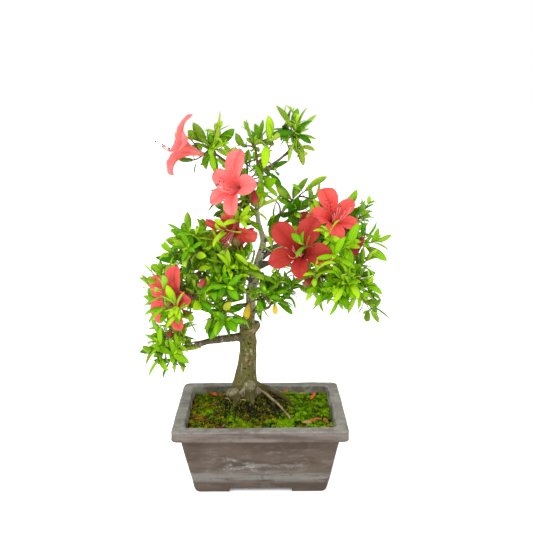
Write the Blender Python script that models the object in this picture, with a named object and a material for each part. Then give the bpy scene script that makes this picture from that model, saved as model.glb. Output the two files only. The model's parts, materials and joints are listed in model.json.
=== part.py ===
"""Flowering Satsuki azalea bonsai in a rectangular clay pot, at real size in metres, +Z up."""

import math
from dataclasses import dataclass

import bmesh
import bpy
import numpy as np

GAP = 0.0003                      # clear space between solids that touch in life
SIDE_GAP = 0.0005                 # the same, where a round limb meets another's side
UPRIGHT = np.array((0.0, 0.0, 1.0))

# Pot: a tapered rectangular box with a flat rim and four corner feet
POT_WIDTH = 0.200
POT_DEPTH = 0.148
POT_HEIGHT = 0.086
POT_CORNER = 0.007
POT_WALL_TOP_INSET = 0.0085       # wall under the rim, in from the rim's edge
POT_BASE_INSET = 0.0227           # wall at the base, in from the rim's edge
RIM_HEIGHT = 0.0128
RIM_WIDTH = 0.0132
RIM_ROUNDING = 0.0016
FOOT_HEIGHT = 0.0046
FOOT_NOTCH_WIDTH = 0.073
FOOT_NOTCH_DEPTH = 0.040
FLOOR_TOP = 0.0125
WALL_THICKNESS = 0.0068
DRAIN_RADIUS = 0.008
DRAIN_OFFSET = 0.036
CORNER_STEPS = 3

# Moss bed: fills the pot and mounds up under the trunk to a level seat
MOSS_EDGE_HEIGHT = 0.0785
SEAT_CENTRE = (-0.018, 0.014)
SEAT_HEIGHT = 0.0955
SEAT_RADIUS = 0.023
MOUND_SPREAD = 0.013              # how far the mound runs out beyond the seat
MOUND_TAIL = 0.016                # and further on the side of the arching root
MOSS_WAVE = 0.0007
MOSS_WAVES_X = 95.0
MOSS_WAVES_Y = 120.0
MOSS_EDGE_DROP = 0.0015           # how far the moss falls where it meets the pot
MOSS_RING_SHARES = (0.02, 0.35, 0.58, 0.70, 0.79, 0.87, 0.94, 1.0)
MOSS_SIDE_STEPS = 5               # runs along each straight side of the moss's rings
HOLLOW_CENTRE = (0.021, -0.003)   # washed out between the arching root and the straight one
HOLLOW_SPREAD = (0.014, 0.013)
HOLLOW_DEPTH = 0.0070

# Trunk: bends as (x, y, z, radius), from the flat cut on the moss to the fork at the top
TRUNK_BENDS = (
    (-0.0180, 0.0140, SEAT_HEIGHT + GAP, 0.0150),
    (-0.0178, 0.0135, 0.1060, 0.0140),
    (-0.0174, 0.0130, 0.1175, 0.0127),
    (-0.0162, 0.0110, 0.1340, 0.0113),
    (-0.0145, 0.0080, 0.1560, 0.0104),
    (-0.0150, 0.0050, 0.1760, 0.0096),
    (-0.0135, 0.0040, 0.1850, 0.0114),
    (-0.0140, 0.0030, 0.1930, 0.0078),
    (-0.0105, 0.0010, 0.2090, 0.0058),
    (-0.0096, 0.0000, 0.2290, 0.0060),
    (-0.0050, 0.0010, 0.2490, 0.0052),
    (0.0000, 0.0030, 0.2690, 0.0044),
    (0.0045, 0.0050, 0.2880, 0.0034),
    (-0.0010, 0.0020, 0.3110, 0.0027),
    (-0.0025, 0.0000, 0.3350, 0.0023),
    (0.0030, -0.0020, 0.3660, 0.0018),
)
TRUNK_SIDES = 12
TRUNK_RINGS = 27
FLARE_LOBES = 5
FLARE_REACH = 0.45                # extra radius of a root lobe at the foot, as a share
FLARE_HEIGHT = 0.011

BOUGH_SIDES = 6
ROOT_SIDES = 6
TWIG_SIDES = 3
TWIG_TIP_RADIUS = 0.0009
TWIG_STEM_RADIUS = 0.0016
SIDE_TWIG_SHARE = 0.93            # a side twig's radius against its parent's at the joint
JOINT_SINK = 0.0007               # how far inside the stem's end its side twigs start

# Leaf and rosette
LEAF_LENGTH = 0.035
LEAF_WIDTH = 0.44                 # width over length
LEAF_THICKNESS = 0.045            # thickness over length
LEAF_WIDEST = 0.52                # where along its length it is widest
LEAF_ARCH = 0.07                  # rise of its middle over length
LEAVES_PER_SPRAY = 4
LEAF_SINK = 0.0016                # root of the lead leaf, in from the twig's end
LEAD_TILT = 12.0                  # degrees from the twig, lead leaf
FAN_TILT = 66.0                   # degrees more for the last leaf
LEAF_ATTEMPTS = 6                 # turns tried, each a little shorter, before a leaf is skipped
LEAF_SHRINK = 0.07                # length lost with each further turn
LEAF_CLEARANCE = 0.0028           # between the outer parts of two leaves
LEAF_SPACING = 0.0045             # between leaf roots along the twig
GOLDEN_ANGLE = math.pi * (3.0 - math.sqrt(5.0))

# Bloom: a five-lobed funnel
BLOOM_LENGTH = 0.033
BLOOM_RADIUS = 0.031
BLOOM_FLARE = 2.0                 # power by which the funnel widens along its length
BLOOM_CURL = 2.15                 # radians of sine: past a quarter turn the lobes curl back
LOBE_FULLNESS = 0.3               # lower is a blunter lobe
BLOOM_TUBE_RADIUS = 0.0022
BLOOM_NOTCH = 0.66                # how far up the funnel its lobes part
BLOOM_SKIN = 0.0009
BLOOM_SINK = 0.0015               # how far its twig runs into the tube
PETAL_COLUMNS = (0.0, 0.22, 0.78)  # places round one petal, from notch to notch
BLOOM_ROWS = 3
PETALS = 5
BUD_LENGTH = 0.022
BUD_RADIUS = 0.0042
BUD_SIDES = 5

CROWN_REACH_X = 0.1465            # furthest leaf tips left and right of the pot's middle
CROWN_REACH_Y = 0.1000            # and to front and back
CROWN_TOP = 0.4435                # highest leaf tip
SPACE_GAP = 0.0004                # from a mass's leaves to the border with the next
ROUNDING = 1e-6
SPRAY_THROWS = 24                 # random places tried for each further spray
SPRAY_DEPTH = (0.35, 0.80)        # how far out in a mass they fall, as shares of its reach
SPRAY_BLOOM_CLEARANCE = 0.009
TWIG_BLOOM_CLEARANCE = 0.003
SPRAY_RISE = 0.35                 # how much a spray turns up to the light
TWIG_SWEEP = 0.33                 # how long a twig holds its first and last heading
LEAF_SIZES = (0.82, 1.0)
BUD_SINK = 0.002
BUD_LEAN = (0.0, -0.01, 0.01)
BUD_PROFILE = ((0.0, 0.30), (0.35, 1.0), (0.70, 0.72), (1.0, 0.06))
LIMB_CLEARANCE = 0.0008
BLOOM_CLEARANCE = 0.0040
PATH_SHARE = 0.45                 # how much a twig prefers to leave its stem early
CROWD_CHARGE = 0.008              # how much it shuns a point that already bears a twig
STEM_STEPS = 3
TWIG_STEPS = 2
CHORD_SAMPLES = 6                 # clearance tests along each straight run


@dataclass(frozen=True)
class Limb:
    """A bough: leaves the trunk at a height, then bends through points to its tip."""

    name: str
    height: float
    bends: tuple
    radii: tuple


@dataclass(frozen=True)
class Bloom:
    """An open flower: where its tube starts, which way it faces, its turn and its size."""

    place: tuple
    facing: tuple
    turn: float = 0.0
    size: float = 1.0


@dataclass(frozen=True)
class Mass:
    """Foliage that keeps to one rounded space, grown from one limb."""

    name: str
    limb: str
    centre: tuple
    reach: tuple
    tips: tuple
    sprays: int
    seed: int
    blooms: tuple = ()
    buds: tuple = ()


BOUGHS = (
    Limb("bough_low_left", 0.1720, ((-0.046, -0.006, 0.1725), (-0.066, -0.012, 0.1705),
                                    (-0.076, -0.014, 0.1680)), (0.0043, 0.0027)),
    Limb("bough_left_inner", 0.2120, ((-0.024, -0.010, 0.2150), (-0.032, -0.015, 0.2140)),
         (0.0018, 0.0014)),
    Limb("bough_left_front", 0.2290, ((-0.032, -0.022, 0.2350), (-0.054, -0.038, 0.2370)),
         (0.0026, 0.0018)),
    Limb("bough_left_middle", 0.2400, ((-0.018, -0.012, 0.2500), (-0.026, -0.020, 0.2560)),
         (0.0018, 0.0014)),
    Limb("bough_left_upper", 0.2540, ((-0.028, -0.006, 0.2680), (-0.044, -0.012, 0.2760)),
         (0.0024, 0.0017)),
    Limb("bough_left_back", 0.2460, ((-0.028, 0.026, 0.2540), (-0.048, 0.042, 0.2560)),
         (0.0026, 0.0018)),
    Limb("bough_lower_right", 0.2020, ((0.000, -0.008, 0.2075), (0.008, -0.014, 0.2120)),
         (0.0015, 0.0013)),
    Limb("bough_right_front", 0.2600, ((0.012, -0.006, 0.2640), (0.030, -0.016, 0.2650),
                                       (0.050, -0.026, 0.2610)), (0.0030, 0.0020)),
    Limb("bough_right_back", 0.2680, ((0.024, 0.026, 0.2760), (0.050, 0.042, 0.2780)),
         (0.0026, 0.0018)),
    Limb("bough_right_upper", 0.2750, ((0.028, 0.004, 0.2850), (0.060, -0.002, 0.2960)),
         (0.0024, 0.0016)),
    Limb("bough_middle", 0.2870, ((0.018, 0.001, 0.2950), (0.0225, -0.001, 0.3020),
                                  (0.0215, -0.003, 0.3090)), (0.0019, 0.0015)),
    Limb("bough_top_back", 0.3330, ((-0.008, 0.014, 0.3460), (-0.012, 0.022, 0.3540)),
         (0.0017, 0.0014)),
    Limb("bough_top_left", 0.3520, ((-0.020, -0.004, 0.3680), (-0.034, -0.006, 0.3780)),
         (0.0016, 0.0013)),
)
ROOTS = (
    ("surface_root", ((0.0010, 0.0145, 0.1045), (0.0120, 0.0140, 0.1005), (0.0240, 0.0115, 0.0940),
                      (0.0345, 0.0085, 0.0872), (0.0388, 0.0072, 0.0832)), (0.0030, 0.0014)),
    ("aerial_root", ((-0.0018, 0.0084, 0.1012), (0.0110, 0.0020, 0.0972), (0.0210, -0.0090, 0.0908),
                     (0.0325, -0.0215, 0.0832), (0.0350, -0.0242, 0.0810)), (0.0014, 0.0010)),
)
APEX_BOUGH = Limb("bough_apex", 0.3660, ((0.0140, 0.000, 0.3750), (0.0300, 0.000, 0.3870)),
                  (0.0017, 0.0013))

MASSES = (
    Mass("foliage_low_left", "bough_low_left", (-0.108, -0.014, 0.166), (0.042, 0.036, 0.038),
         ((-CROWN_REACH_X, 0.010, 0.172), (-0.1395, -0.020, 0.162), (-0.129, -0.030, 0.136),
          (-0.128, 0.000, 0.197)), 4, 511),
    Mass("foliage_left_inner", "bough_left_inner", (-0.046, -0.026, 0.212), (0.034, 0.042, 0.034),
         ((-0.058, -0.028, 0.180), (-0.034, -0.034, 0.184)), 5, 2012),
    Mass("foliage_left_low", "bough_left_front", (-0.092, -0.038, 0.228), (0.052, 0.052, 0.040),
         ((-0.130, -0.020, 0.2665), (-0.1385, -0.008, 0.2487), (-0.069, -0.055, 0.195),
          (-0.110, -0.040, 0.190)), 6, 413,
         (Bloom((-0.076, -0.030, 0.234), (-0.85, -0.50, 0.02), 0.3),), ((-0.060, -0.058, 0.258),)),
    Mass("foliage_left_middle", "bough_left_middle", (-0.036, -0.036, 0.262),
         (0.036, 0.044, 0.034), ((-0.014, -0.052, 0.240), (-0.047, -0.072, 0.272)), 6, 2314),
    Mass("foliage_left_upper", "bough_left_upper", (-0.070, -0.014, 0.288), (0.046, 0.046, 0.036),
         ((-0.1027, -0.010, 0.3111), (-0.0632, -0.015, 0.3133), (-0.1084, 0.005, 0.2894),
          (-0.036, 0.000, 0.3120)), 7, 1415),
    Mass("foliage_left_back", "bough_left_back", (-0.074, 0.052, 0.244), (0.062, 0.048, 0.054),
         ((-0.070, CROWN_REACH_Y, 0.240), (-0.126, 0.040, 0.262), (-0.062, 0.060, 0.194)), 9, 1816,
         (Bloom((-0.058, 0.058, 0.250), (-0.35, 0.90, 0.25)),)),
    Mass("foliage_centre_low", "bough_lower_right", (0.012, -0.036, 0.236), (0.036, 0.036, 0.034),
         ((0.0168, -0.025, 0.2066), (0.035, -0.045, 0.222), (0.0206, -0.030, 0.261)), 5, 1617),
    Mass("foliage_right_low", "bough_right_front", (0.092, -0.044, 0.246), (0.060, 0.050, 0.038),
         ((CROWN_REACH_X, -0.055, 0.2455), (0.1430, -0.060, 0.213), (0.100, -0.050, 0.2249),
          (0.0775, -0.055, 0.2151), (0.056, -0.060, 0.2223), (0.084, -CROWN_REACH_Y, 0.250)),
         9, 718, (), ((0.058, -0.052, 0.258),)),
    Mass("foliage_right_upper", "bough_right_upper", (0.086, -0.020, 0.308), (0.054, 0.050, 0.040),
         ((0.1344, -0.020, 0.2935), (0.1426, -0.030, 0.2714), (0.1318, 0.000, 0.332),
          (0.1113, 0.000, 0.3468)), 7, 2019,
         (Bloom((0.0506, -0.041, 0.2817), (-0.50, -0.81, 0.28), 0.5),
          Bloom((0.078, -0.0245, 0.309), (0.0, -0.79, 0.58), -0.35)),
         ((0.112, -0.034, 0.290),)),
    Mass("foliage_right_back", "bough_right_back", (0.078, 0.050, 0.272), (0.062, 0.048, 0.056),
         ((0.080, CROWN_REACH_Y, 0.262), (0.136, 0.034, 0.280), (0.076, 0.052, 0.218)), 9, 20,
         (Bloom((0.066, 0.058, 0.286), (0.30, 0.88, 0.36)),)),
    Mass("foliage_middle", "bough_middle", (0.038, 0.000, 0.336), (0.046, 0.034, 0.030),
         ((0.0757, -0.010, 0.3634), (0.0556, 0.010, 0.3597), (0.0191, -0.020, 0.3518),
          (0.0342, 0.000, 0.3477)), 5, 2321),
    Mass("foliage_centre", "trunk", (-0.022, -0.018, 0.332), (0.036, 0.038, 0.034),
         ((0.010, -0.034, 0.347), (-0.044, 0.010, 0.318)), 4, 722,
         (Bloom((-0.0143, -0.028, 0.349), (-0.38, -0.84, 0.39), -0.1),
          Bloom((-0.0206, -0.014, 0.320), (-0.45, -0.70, -0.55), 0.4, 0.9)),
         ((-0.002, -0.034, 0.330),)),
    Mass("foliage_top_back", "bough_top_back", (-0.014, 0.042, 0.372), (0.042, 0.038, 0.036),
         ((-0.030, 0.066, 0.392), (0.014, 0.064, 0.366)), 7, 523),
    Mass("foliage_top_left", "bough_top_left", (-0.052, -0.010, 0.392), (0.038, 0.036, 0.034),
         ((-0.0721, -0.005, 0.4222), (-0.043, -0.015, 0.4211), (-0.0272, 0.000, 0.4153),
          (-0.0457, -0.020, 0.3667)), 4, 2024,
         (Bloom((-0.0606, -0.018, 0.3887), (-0.95, -0.15, 0.25), 0.0),)),
    Mass("foliage_top_middle", "trunk", (-0.004, -0.006, 0.398), (0.030, 0.034, 0.030),
         ((-0.0135, -0.010, 0.4252), (0.0057, 0.000, 0.425), (0.0158, -0.005, 0.4217)), 5, 25),
    Mass("foliage_apex", "bough_apex", (0.044, 0.000, 0.408), (0.030, 0.034, 0.036),
         ((0.0454, 0.000, CROWN_TOP), (0.0203, -0.005, 0.4403), (0.0643, 0.005, 0.4302),
          (0.064, -0.010, 0.4044), (0.0326, -0.010, 0.3806)), 4, 626),
)
TRUNK_STEM_HEIGHTS = {"foliage_centre": 0.3180, "foliage_top_middle": 0.3560}

BARK = ("bark", (0.165, 0.130, 0.080), 0.85)
CLAY = ("unglazed_clay", (0.150, 0.125, 0.100), 0.75)
MOSS = ("moss", (0.110, 0.190, 0.025), 0.95)
LEAF = ("azalea_foliage", (0.095, 0.270, 0.020), 0.45)
DRY_ROOT = ("dry_root", (0.330, 0.230, 0.130), 0.85)


def unit(vector):
    """A vector at length one."""
    vector = np.asarray(vector, dtype=float)
    return vector / max(np.linalg.norm(vector), 1e-12)


def side_axes(direction):
    """Two unit axes square to a direction and to each other."""
    helper = np.array((0.0, 0.0, 1.0)) if abs(direction[2]) < 0.9 else np.array((1.0, 0.0, 0.0))
    first = unit(np.cross(helper, direction))
    return first, np.cross(direction, first)


def make_material(finish):
    """The Principled material of a finish, made once."""
    name, colour, roughness = finish
    material = bpy.data.materials.get(name)
    if material is None:
        material = bpy.data.materials.new(name)
        material.use_nodes = True
        shader = material.node_tree.nodes["Principled BSDF"]
        shader.inputs["Base Color"].default_value = (*colour, 1.0)
        shader.inputs["Roughness"].default_value = roughness
        shader.inputs["Metallic"].default_value = 0.0
    return material


def make_object(name, vertices, faces, finish, smooth_angle=None):
    """An object from points and faces, with its faces turned outward."""
    mesh = bpy.data.meshes.new(name)
    mesh.from_pydata([tuple(point) for point in vertices], [], [tuple(face) for face in faces])
    tidy = bmesh.new()
    tidy.from_mesh(mesh)
    bmesh.ops.recalc_face_normals(tidy, faces=tidy.faces)
    tidy.to_mesh(mesh)
    tidy.free()
    if smooth_angle is not None:
        mesh.shade_smooth()
        mesh.set_sharp_from_angle(angle=math.radians(smooth_angle))
    mesh.materials.append(make_material(finish))
    item = bpy.data.objects.new(name, mesh)
    bpy.context.scene.collection.objects.link(item)
    return item


def loft(rings):
    """Points and faces of a closed solid through rings of equal length, flat at both ends."""
    size = len(rings[0])
    vertices = np.concatenate(rings)
    faces = [tuple(range(size))[::-1]]
    for row in range(len(rings) - 1):
        low = row * size
        for step in range(size):
            after = (step + 1) % size
            faces.append((low + step, low + after, low + size + after, low + size + step))
    faces.append(tuple(range(len(vertices) - size, len(vertices))))
    return vertices, faces


def apply_boolean(item, operation, cutter=None, operands=None):
    """One applied Boolean with an object or a collection, whose objects are then removed."""
    change = item.modifiers.new("join", "BOOLEAN")
    change.operation = operation
    if cutter is not None:
        change.object = cutter
    else:
        change.operand_type = "COLLECTION"
        change.collection = operands
        change.solver = "MANIFOLD"
    evaluated = item.evaluated_get(bpy.context.evaluated_depsgraph_get())
    result = bpy.data.meshes.new_from_object(evaluated)
    item.modifiers.clear()
    item.data = result
    used = [cutter] if cutter is not None else list(operands.objects)
    for tool in used:
        bpy.data.objects.remove(tool)
    if operands is not None:
        bpy.data.collections.remove(operands)


def rounded_rectangle(inset, height, corner):
    """One level ring of the pot, in from the rim's edge by an inset."""
    ring = []
    half_width = POT_WIDTH / 2 - inset - corner
    half_depth = POT_DEPTH / 2 - inset - corner
    for quarter, (side_x, side_y) in enumerate(((1, 1), (-1, 1), (-1, -1), (1, -1))):
        for step in range(CORNER_STEPS + 1):
            angle = math.pi / 2 * (quarter + step / CORNER_STEPS)
            ring.append((side_x * half_width + corner * math.cos(angle),
                         side_y * half_depth + corner * math.sin(angle), height))
    return np.array(ring)


def wall_inset(height):
    """Inset of the pot's outer wall at a height."""
    share = height / (POT_HEIGHT - RIM_HEIGHT)
    return POT_BASE_INSET + (POT_WALL_TOP_INSET - POT_BASE_INSET) * share


def bed_inset(height):
    """Inset of the pot's inner wall at a height."""
    under_rim = POT_HEIGHT - RIM_HEIGHT
    if height >= under_rim:
        share = (height - under_rim) / RIM_HEIGHT
        return (1 - share) * (wall_inset(under_rim) + WALL_THICKNESS) + share * RIM_WIDTH
    return wall_inset(height) + WALL_THICKNESS


def build_pot():
    """The clay pot: outer wall, rim and hollow in one loft, then foot notches and drain holes."""
    under_rim = POT_HEIGHT - RIM_HEIGHT
    rings = [
        rounded_rectangle(wall_inset(0.0) + RIM_ROUNDING, 0.0, POT_CORNER),
        rounded_rectangle(wall_inset(RIM_ROUNDING), RIM_ROUNDING, POT_CORNER),
        rounded_rectangle(POT_WALL_TOP_INSET, under_rim, POT_CORNER),
        rounded_rectangle(RIM_ROUNDING, under_rim, POT_CORNER),
        rounded_rectangle(0.0, under_rim + RIM_ROUNDING, POT_CORNER),
        rounded_rectangle(0.0, POT_HEIGHT - RIM_ROUNDING, POT_CORNER),
        rounded_rectangle(RIM_ROUNDING, POT_HEIGHT, POT_CORNER),
        rounded_rectangle(RIM_WIDTH - RIM_ROUNDING, POT_HEIGHT, POT_CORNER),
        rounded_rectangle(RIM_WIDTH, POT_HEIGHT - RIM_ROUNDING, POT_CORNER),
        rounded_rectangle(bed_inset(under_rim), under_rim, POT_CORNER),
        rounded_rectangle(bed_inset(FLOOR_TOP), FLOOR_TOP, POT_CORNER),
    ]
    pot = make_object("pot", *loft(rings), CLAY, smooth_angle=35)
    for size_x, size_y in ((FOOT_NOTCH_WIDTH, POT_DEPTH), (POT_WIDTH, FOOT_NOTCH_DEPTH)):
        apply_boolean(pot, "DIFFERENCE", notch_cutter(size_x, size_y))
    for side in (-1, 1):
        apply_boolean(pot, "DIFFERENCE", drain_cutter(side * DRAIN_OFFSET))
    return pot


def notch_cutter(size_x, size_y):
    """A bar that cuts the gap between two pairs of feet."""
    shape = bmesh.new()
    bmesh.ops.create_cube(shape, size=1.0)
    bmesh.ops.scale(shape, vec=(size_x, size_y, 2 * FOOT_HEIGHT), verts=shape.verts)
    return cutter_from(shape, "foot_notch", (0.0, 0.0, 0.0))


def drain_cutter(place_x):
    """An upright cylinder through the pot's floor."""
    shape = bmesh.new()
    bmesh.ops.create_cone(shape, cap_ends=True, segments=16, radius1=DRAIN_RADIUS,
                          radius2=DRAIN_RADIUS, depth=3 * FLOOR_TOP)
    return cutter_from(shape, "drain", (place_x, 0.0, FLOOR_TOP))


def cutter_from(shape, name, place):
    """A cutter object at a place, kept out of the model."""
    bmesh.ops.translate(shape, vec=place, verts=shape.verts)
    mesh = bpy.data.meshes.new(name)
    shape.to_mesh(mesh)
    shape.free()
    cutter = bpy.data.objects.new(name, mesh)
    cutter.hide_render = True
    cutter.display_type = "WIRE"
    bpy.context.scene.collection.objects.link(cutter)
    return cutter


def moss_height(x, y):
    """Height of the moss: level seat, a mound round it, a hollow by the roots and low waves."""
    off_x = x - SEAT_CENTRE[0]
    off_y = y - SEAT_CENTRE[1]
    distance = math.hypot(off_x, off_y)
    outside = max(distance - SEAT_RADIUS, 0.0)
    spread = MOUND_SPREAD + MOUND_TAIL * max(off_x / max(distance, ROUNDING), 0.0)
    mound = (SEAT_HEIGHT - MOSS_EDGE_HEIGHT) * math.exp(-(outside / spread) ** 2)
    waves = MOSS_WAVE * math.sin(x * MOSS_WAVES_X + 1.0) * math.sin(y * MOSS_WAVES_Y)
    hollow = HOLLOW_DEPTH * math.exp(-((x - HOLLOW_CENTRE[0]) / HOLLOW_SPREAD[0]) ** 2
                                     - ((y - HOLLOW_CENTRE[1]) / HOLLOW_SPREAD[1]) ** 2)
    return MOSS_EDGE_HEIGHT + mound + (waves - hollow) * min(outside / MOUND_SPREAD, 1.0)


def with_sides(ring):
    """A rounded rectangle's ring with even points added along its straight sides."""
    size = CORNER_STEPS + 1
    points = []
    for first in range(0, len(ring), size):
        start = ring[first + size - 1]
        end = ring[(first + size) % len(ring)]
        points.extend(ring[first:first + size])
        points.extend(start + (end - start) * step / MOSS_SIDE_STEPS
                      for step in range(1, MOSS_SIDE_STEPS))
    return np.array(points)


def build_moss():
    """Soil block whose top runs in rings from the pot's wall in to the round seat."""
    under_rim = POT_HEIGHT - RIM_HEIGHT
    border_height = MOSS_EDGE_HEIGHT - MOSS_EDGE_DROP
    levels = ((bed_inset(FLOOR_TOP) + 2 * GAP, FLOOR_TOP + GAP),
              (bed_inset(under_rim) + GAP, under_rim),
              (bed_inset(MOSS_EDGE_HEIGHT) + GAP, border_height))
    rings = [with_sides(rounded_rectangle(inset, height, POT_CORNER)) for inset, height in levels]
    border = rings[-1]
    angles = np.arctan2(border[:, 1] - SEAT_CENTRE[1], border[:, 0] - SEAT_CENTRE[0])
    seat = np.array(SEAT_CENTRE) + SEAT_RADIUS * np.stack((np.cos(angles), np.sin(angles)), axis=1)
    for share in MOSS_RING_SHARES:
        flat = border[:, :2] + (seat - border[:, :2]) * share
        rings.append(np.array([(x, y, moss_height(x, y)) for x, y in flat]))
    return make_object("moss_bed", *loft(rings), MOSS, smooth_angle=60)


def smooth_curve(points, count):
    """Evenly counted points of a smooth curve through bends of any width (Catmull-Rom)."""
    points = np.asarray(points, dtype=float)
    padded = np.vstack((2 * points[0] - points[1], points, 2 * points[-1] - points[-2]))
    spans = len(points) - 1
    places = np.linspace(0.0, spans, count)
    result = []
    for place in places:
        span = min(int(place), spans - 1)
        t = place - span
        a, b, c, d = padded[span:span + 4]
        result.append(0.5 * (2 * b + (c - a) * t + (2 * a - 5 * b + 4 * c - d) * t ** 2
                             + (3 * b - a - 3 * c + d) * t ** 3))
    return np.array(result)


def tube_rings(points, radii, sides, foot_heading):
    """Rings round a path, each square to it, and the first square to a heading of its own."""
    headings = np.gradient(points, axis=0)
    headings[0] = foot_heading
    first, second = side_axes(unit(headings[0]))
    rings = []
    for point, radius, heading in zip(points, radii, headings):
        heading = unit(heading)
        first = unit(first - heading * np.dot(first, heading))
        second = np.cross(heading, first)
        angles = np.arange(sides) * 2 * math.pi / sides
        rings.append(point + radius * (np.outer(np.cos(angles), first)
                                       + np.outer(np.sin(angles), second)))
    return rings


def trunk_line():
    """Points and radii of the trunk's smooth axis."""
    line = smooth_curve(TRUNK_BENDS, TRUNK_RINGS)
    return line[:, :3], line[:, 3]


def build_trunk():
    """The trunk in one loft, its foot spread into root lobes."""
    points, radii = trunk_line()
    rings = tube_rings(points, radii, TRUNK_SIDES, UPRIGHT)
    for ring, point in zip(rings, points):
        fade = math.exp(-(point[2] - SEAT_HEIGHT) / FLARE_HEIGHT)
        for corner in ring:
            angle = math.atan2(corner[1] - point[1], corner[0] - point[0])
            lobe = 0.5 + 0.5 * math.cos(FLARE_LOBES * angle + 0.6)
            corner[:2] = point[:2] + (corner[:2] - point[:2]) * (1 + FLARE_REACH * fade * lobe)
    return make_object("trunk", *loft(rings), BARK, smooth_angle=50)


def side_start(limb_points, limb_radii, height, target, width):
    """Start and heading of a limb that leaves another's side at a height, clear of it."""
    heights = limb_points[:, 2]
    base = np.array([np.interp(height, heights, limb_points[:, axis]) for axis in range(3)])
    above = int(np.searchsorted(heights, height))
    axis = unit(limb_points[above] - limb_points[above - 1])
    heading = unit(np.array(target) - base)
    lean = np.dot(heading, axis)
    outward = math.sqrt(max(1.0 - lean ** 2, 0.1))
    clear = np.interp(height, heights, limb_radii) + SIDE_GAP + width * abs(lean)
    return base + heading * clear / outward, heading


def tapered_line(start, bends, radii):
    """Points and radii of a limb from its start through its bends."""
    line = smooth_curve(np.vstack((start, *bends)), 2 * len(bends) + 2)
    return line, np.linspace(radii[0], radii[1], len(line))


def all_limbs():
    """Points, radii and first heading of the trunk and every bough, by name."""
    points, radii = trunk_line()
    limbs = {"trunk": (points, radii, UPRIGHT)}
    for limb in BOUGHS:
        start, heading = side_start(points, radii, limb.height, limb.bends[0], limb.radii[0])
        limbs[limb.name] = (*tapered_line(start, limb.bends, limb.radii), heading)
    heading = unit(points[-1] - points[-2])
    apex = tapered_line(points[-1] + heading * GAP, APEX_BOUGH.bends, APEX_BOUGH.radii)
    limbs[APEX_BOUGH.name] = (*apex, heading)
    return limbs


def build_bough(name, points, radii, heading):
    """One tapering limb."""
    rings = tube_rings(points, radii, BOUGH_SIDES, heading)
    return make_object(name, *loft(rings), BARK, smooth_angle=60)


def build_root(name, bends, radii):
    """A root that stands proud of the moss, just clear of it and of the trunk."""
    points, widths = tapered_line(np.array(bends[0]), bends[1:], radii)
    rings = tube_rings(points, widths, ROOT_SIDES, points[1] - points[0])
    return make_object(name, *loft(rings), DRY_ROOT, smooth_angle=60)


def limb_samples(limbs):
    """Dense points along every limb with their radii, for clearance tests."""
    places = []
    widths = []
    for points, radii, _ in limbs.values():
        steps = np.linspace(0, len(points) - 1, 6 * len(points))
        whole = np.arange(len(points))
        places.append(np.stack([np.interp(steps, whole, points[:, k]) for k in range(3)], axis=1))
        widths.append(np.interp(steps, whole, radii))
    return np.concatenate(places), np.concatenate(widths)


def bloom_surface(bloom, up_share, angle):
    """Point of the funnel: narrow tube, then a flaring bowl whose lobes curl back at the lip."""
    facing = unit(bloom.facing)
    first, second = side_axes(facing)
    lobe = abs(math.sin(PETALS * angle / 2)) ** LOBE_FULLNESS
    share = up_share * (BLOOM_NOTCH + (1 - BLOOM_NOTCH) * lobe)
    along = BLOOM_LENGTH * math.sin(share * BLOOM_CURL)
    radius = BLOOM_TUBE_RADIUS + (BLOOM_RADIUS - BLOOM_TUBE_RADIUS) * share ** BLOOM_FLARE
    turned = angle + bloom.turn - math.pi / PETALS
    offset = facing * along + (second * math.cos(turned) + first * math.sin(turned)) * radius
    return np.array(bloom.place) + offset * bloom.size


def bloom_points(bloom):
    """Grid of the funnel, rows from tube to lip, columns round it from notch to notch."""
    shares = np.linspace(0.0, 1.0, BLOOM_ROWS)
    angles = np.add.outer(np.arange(PETALS), PETAL_COLUMNS).ravel() * 2 * math.pi / PETALS
    return np.array([[bloom_surface(bloom, share, angle) for angle in angles] for share in shares])


def grid_faces(rows, columns):
    """Quads of a grid closed round its columns."""
    faces = []
    for row in range(rows - 1):
        for column in range(columns):
            after = (column + 1) % columns
            low = row * columns
            faces.append((low + column, low + after, low + columns + after, low + columns + column))
    return faces


def add_bloom(bloom, finish):
    """An open flower with an even skin."""
    points = bloom_points(bloom)
    faces = [tuple(range(points.shape[1]))[::-1], *grid_faces(*points.shape[:2])]
    item = make_object("bloom", points.reshape(-1, 3), faces, finish)
    skin = item.modifiers.new("skin", "SOLIDIFY")
    skin.thickness = BLOOM_SKIN
    skin.offset = 0.0
    return item


def bud_solid(base, heading):
    """A closed bud: a pointed spindle."""
    first, second = side_axes(heading)
    rings = []
    angles = np.arange(BUD_SIDES) * 2 * math.pi / BUD_SIDES
    for share, width in BUD_PROFILE:
        centre = base + heading * (BUD_LENGTH * share)
        rings.append(centre + BUD_RADIUS * width * (np.outer(np.cos(angles), first)
                                                    + np.outer(np.sin(angles), second)))
    return loft(rings)


def leaf_corners(root, heading, upward, length):
    """Five corners of a leaf arched over its middle: root, two edges, tip and keel."""
    across = unit(np.cross(heading, upward))
    lift = np.cross(across, heading)
    middle = root + heading * (LEAF_WIDEST * length) + lift * (LEAF_ARCH * length)
    half = across * (0.5 * LEAF_WIDTH * length)
    keel = middle - lift * (LEAF_THICKNESS * length)
    return np.array((root, middle + half, root + heading * length, middle - half, keel))


LEAF_FACES = ((0, 1, 3), (1, 2, 3), (1, 0, 4), (2, 1, 4), (3, 2, 4), (0, 3, 4))
RIB_SAMPLES = np.linspace(0.36, 1.0, 6)
INNER_SAMPLES = np.linspace(0.6, 1.0, 3)
OUTER_SAMPLES = np.linspace(0.3, 0.7, 3)


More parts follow.
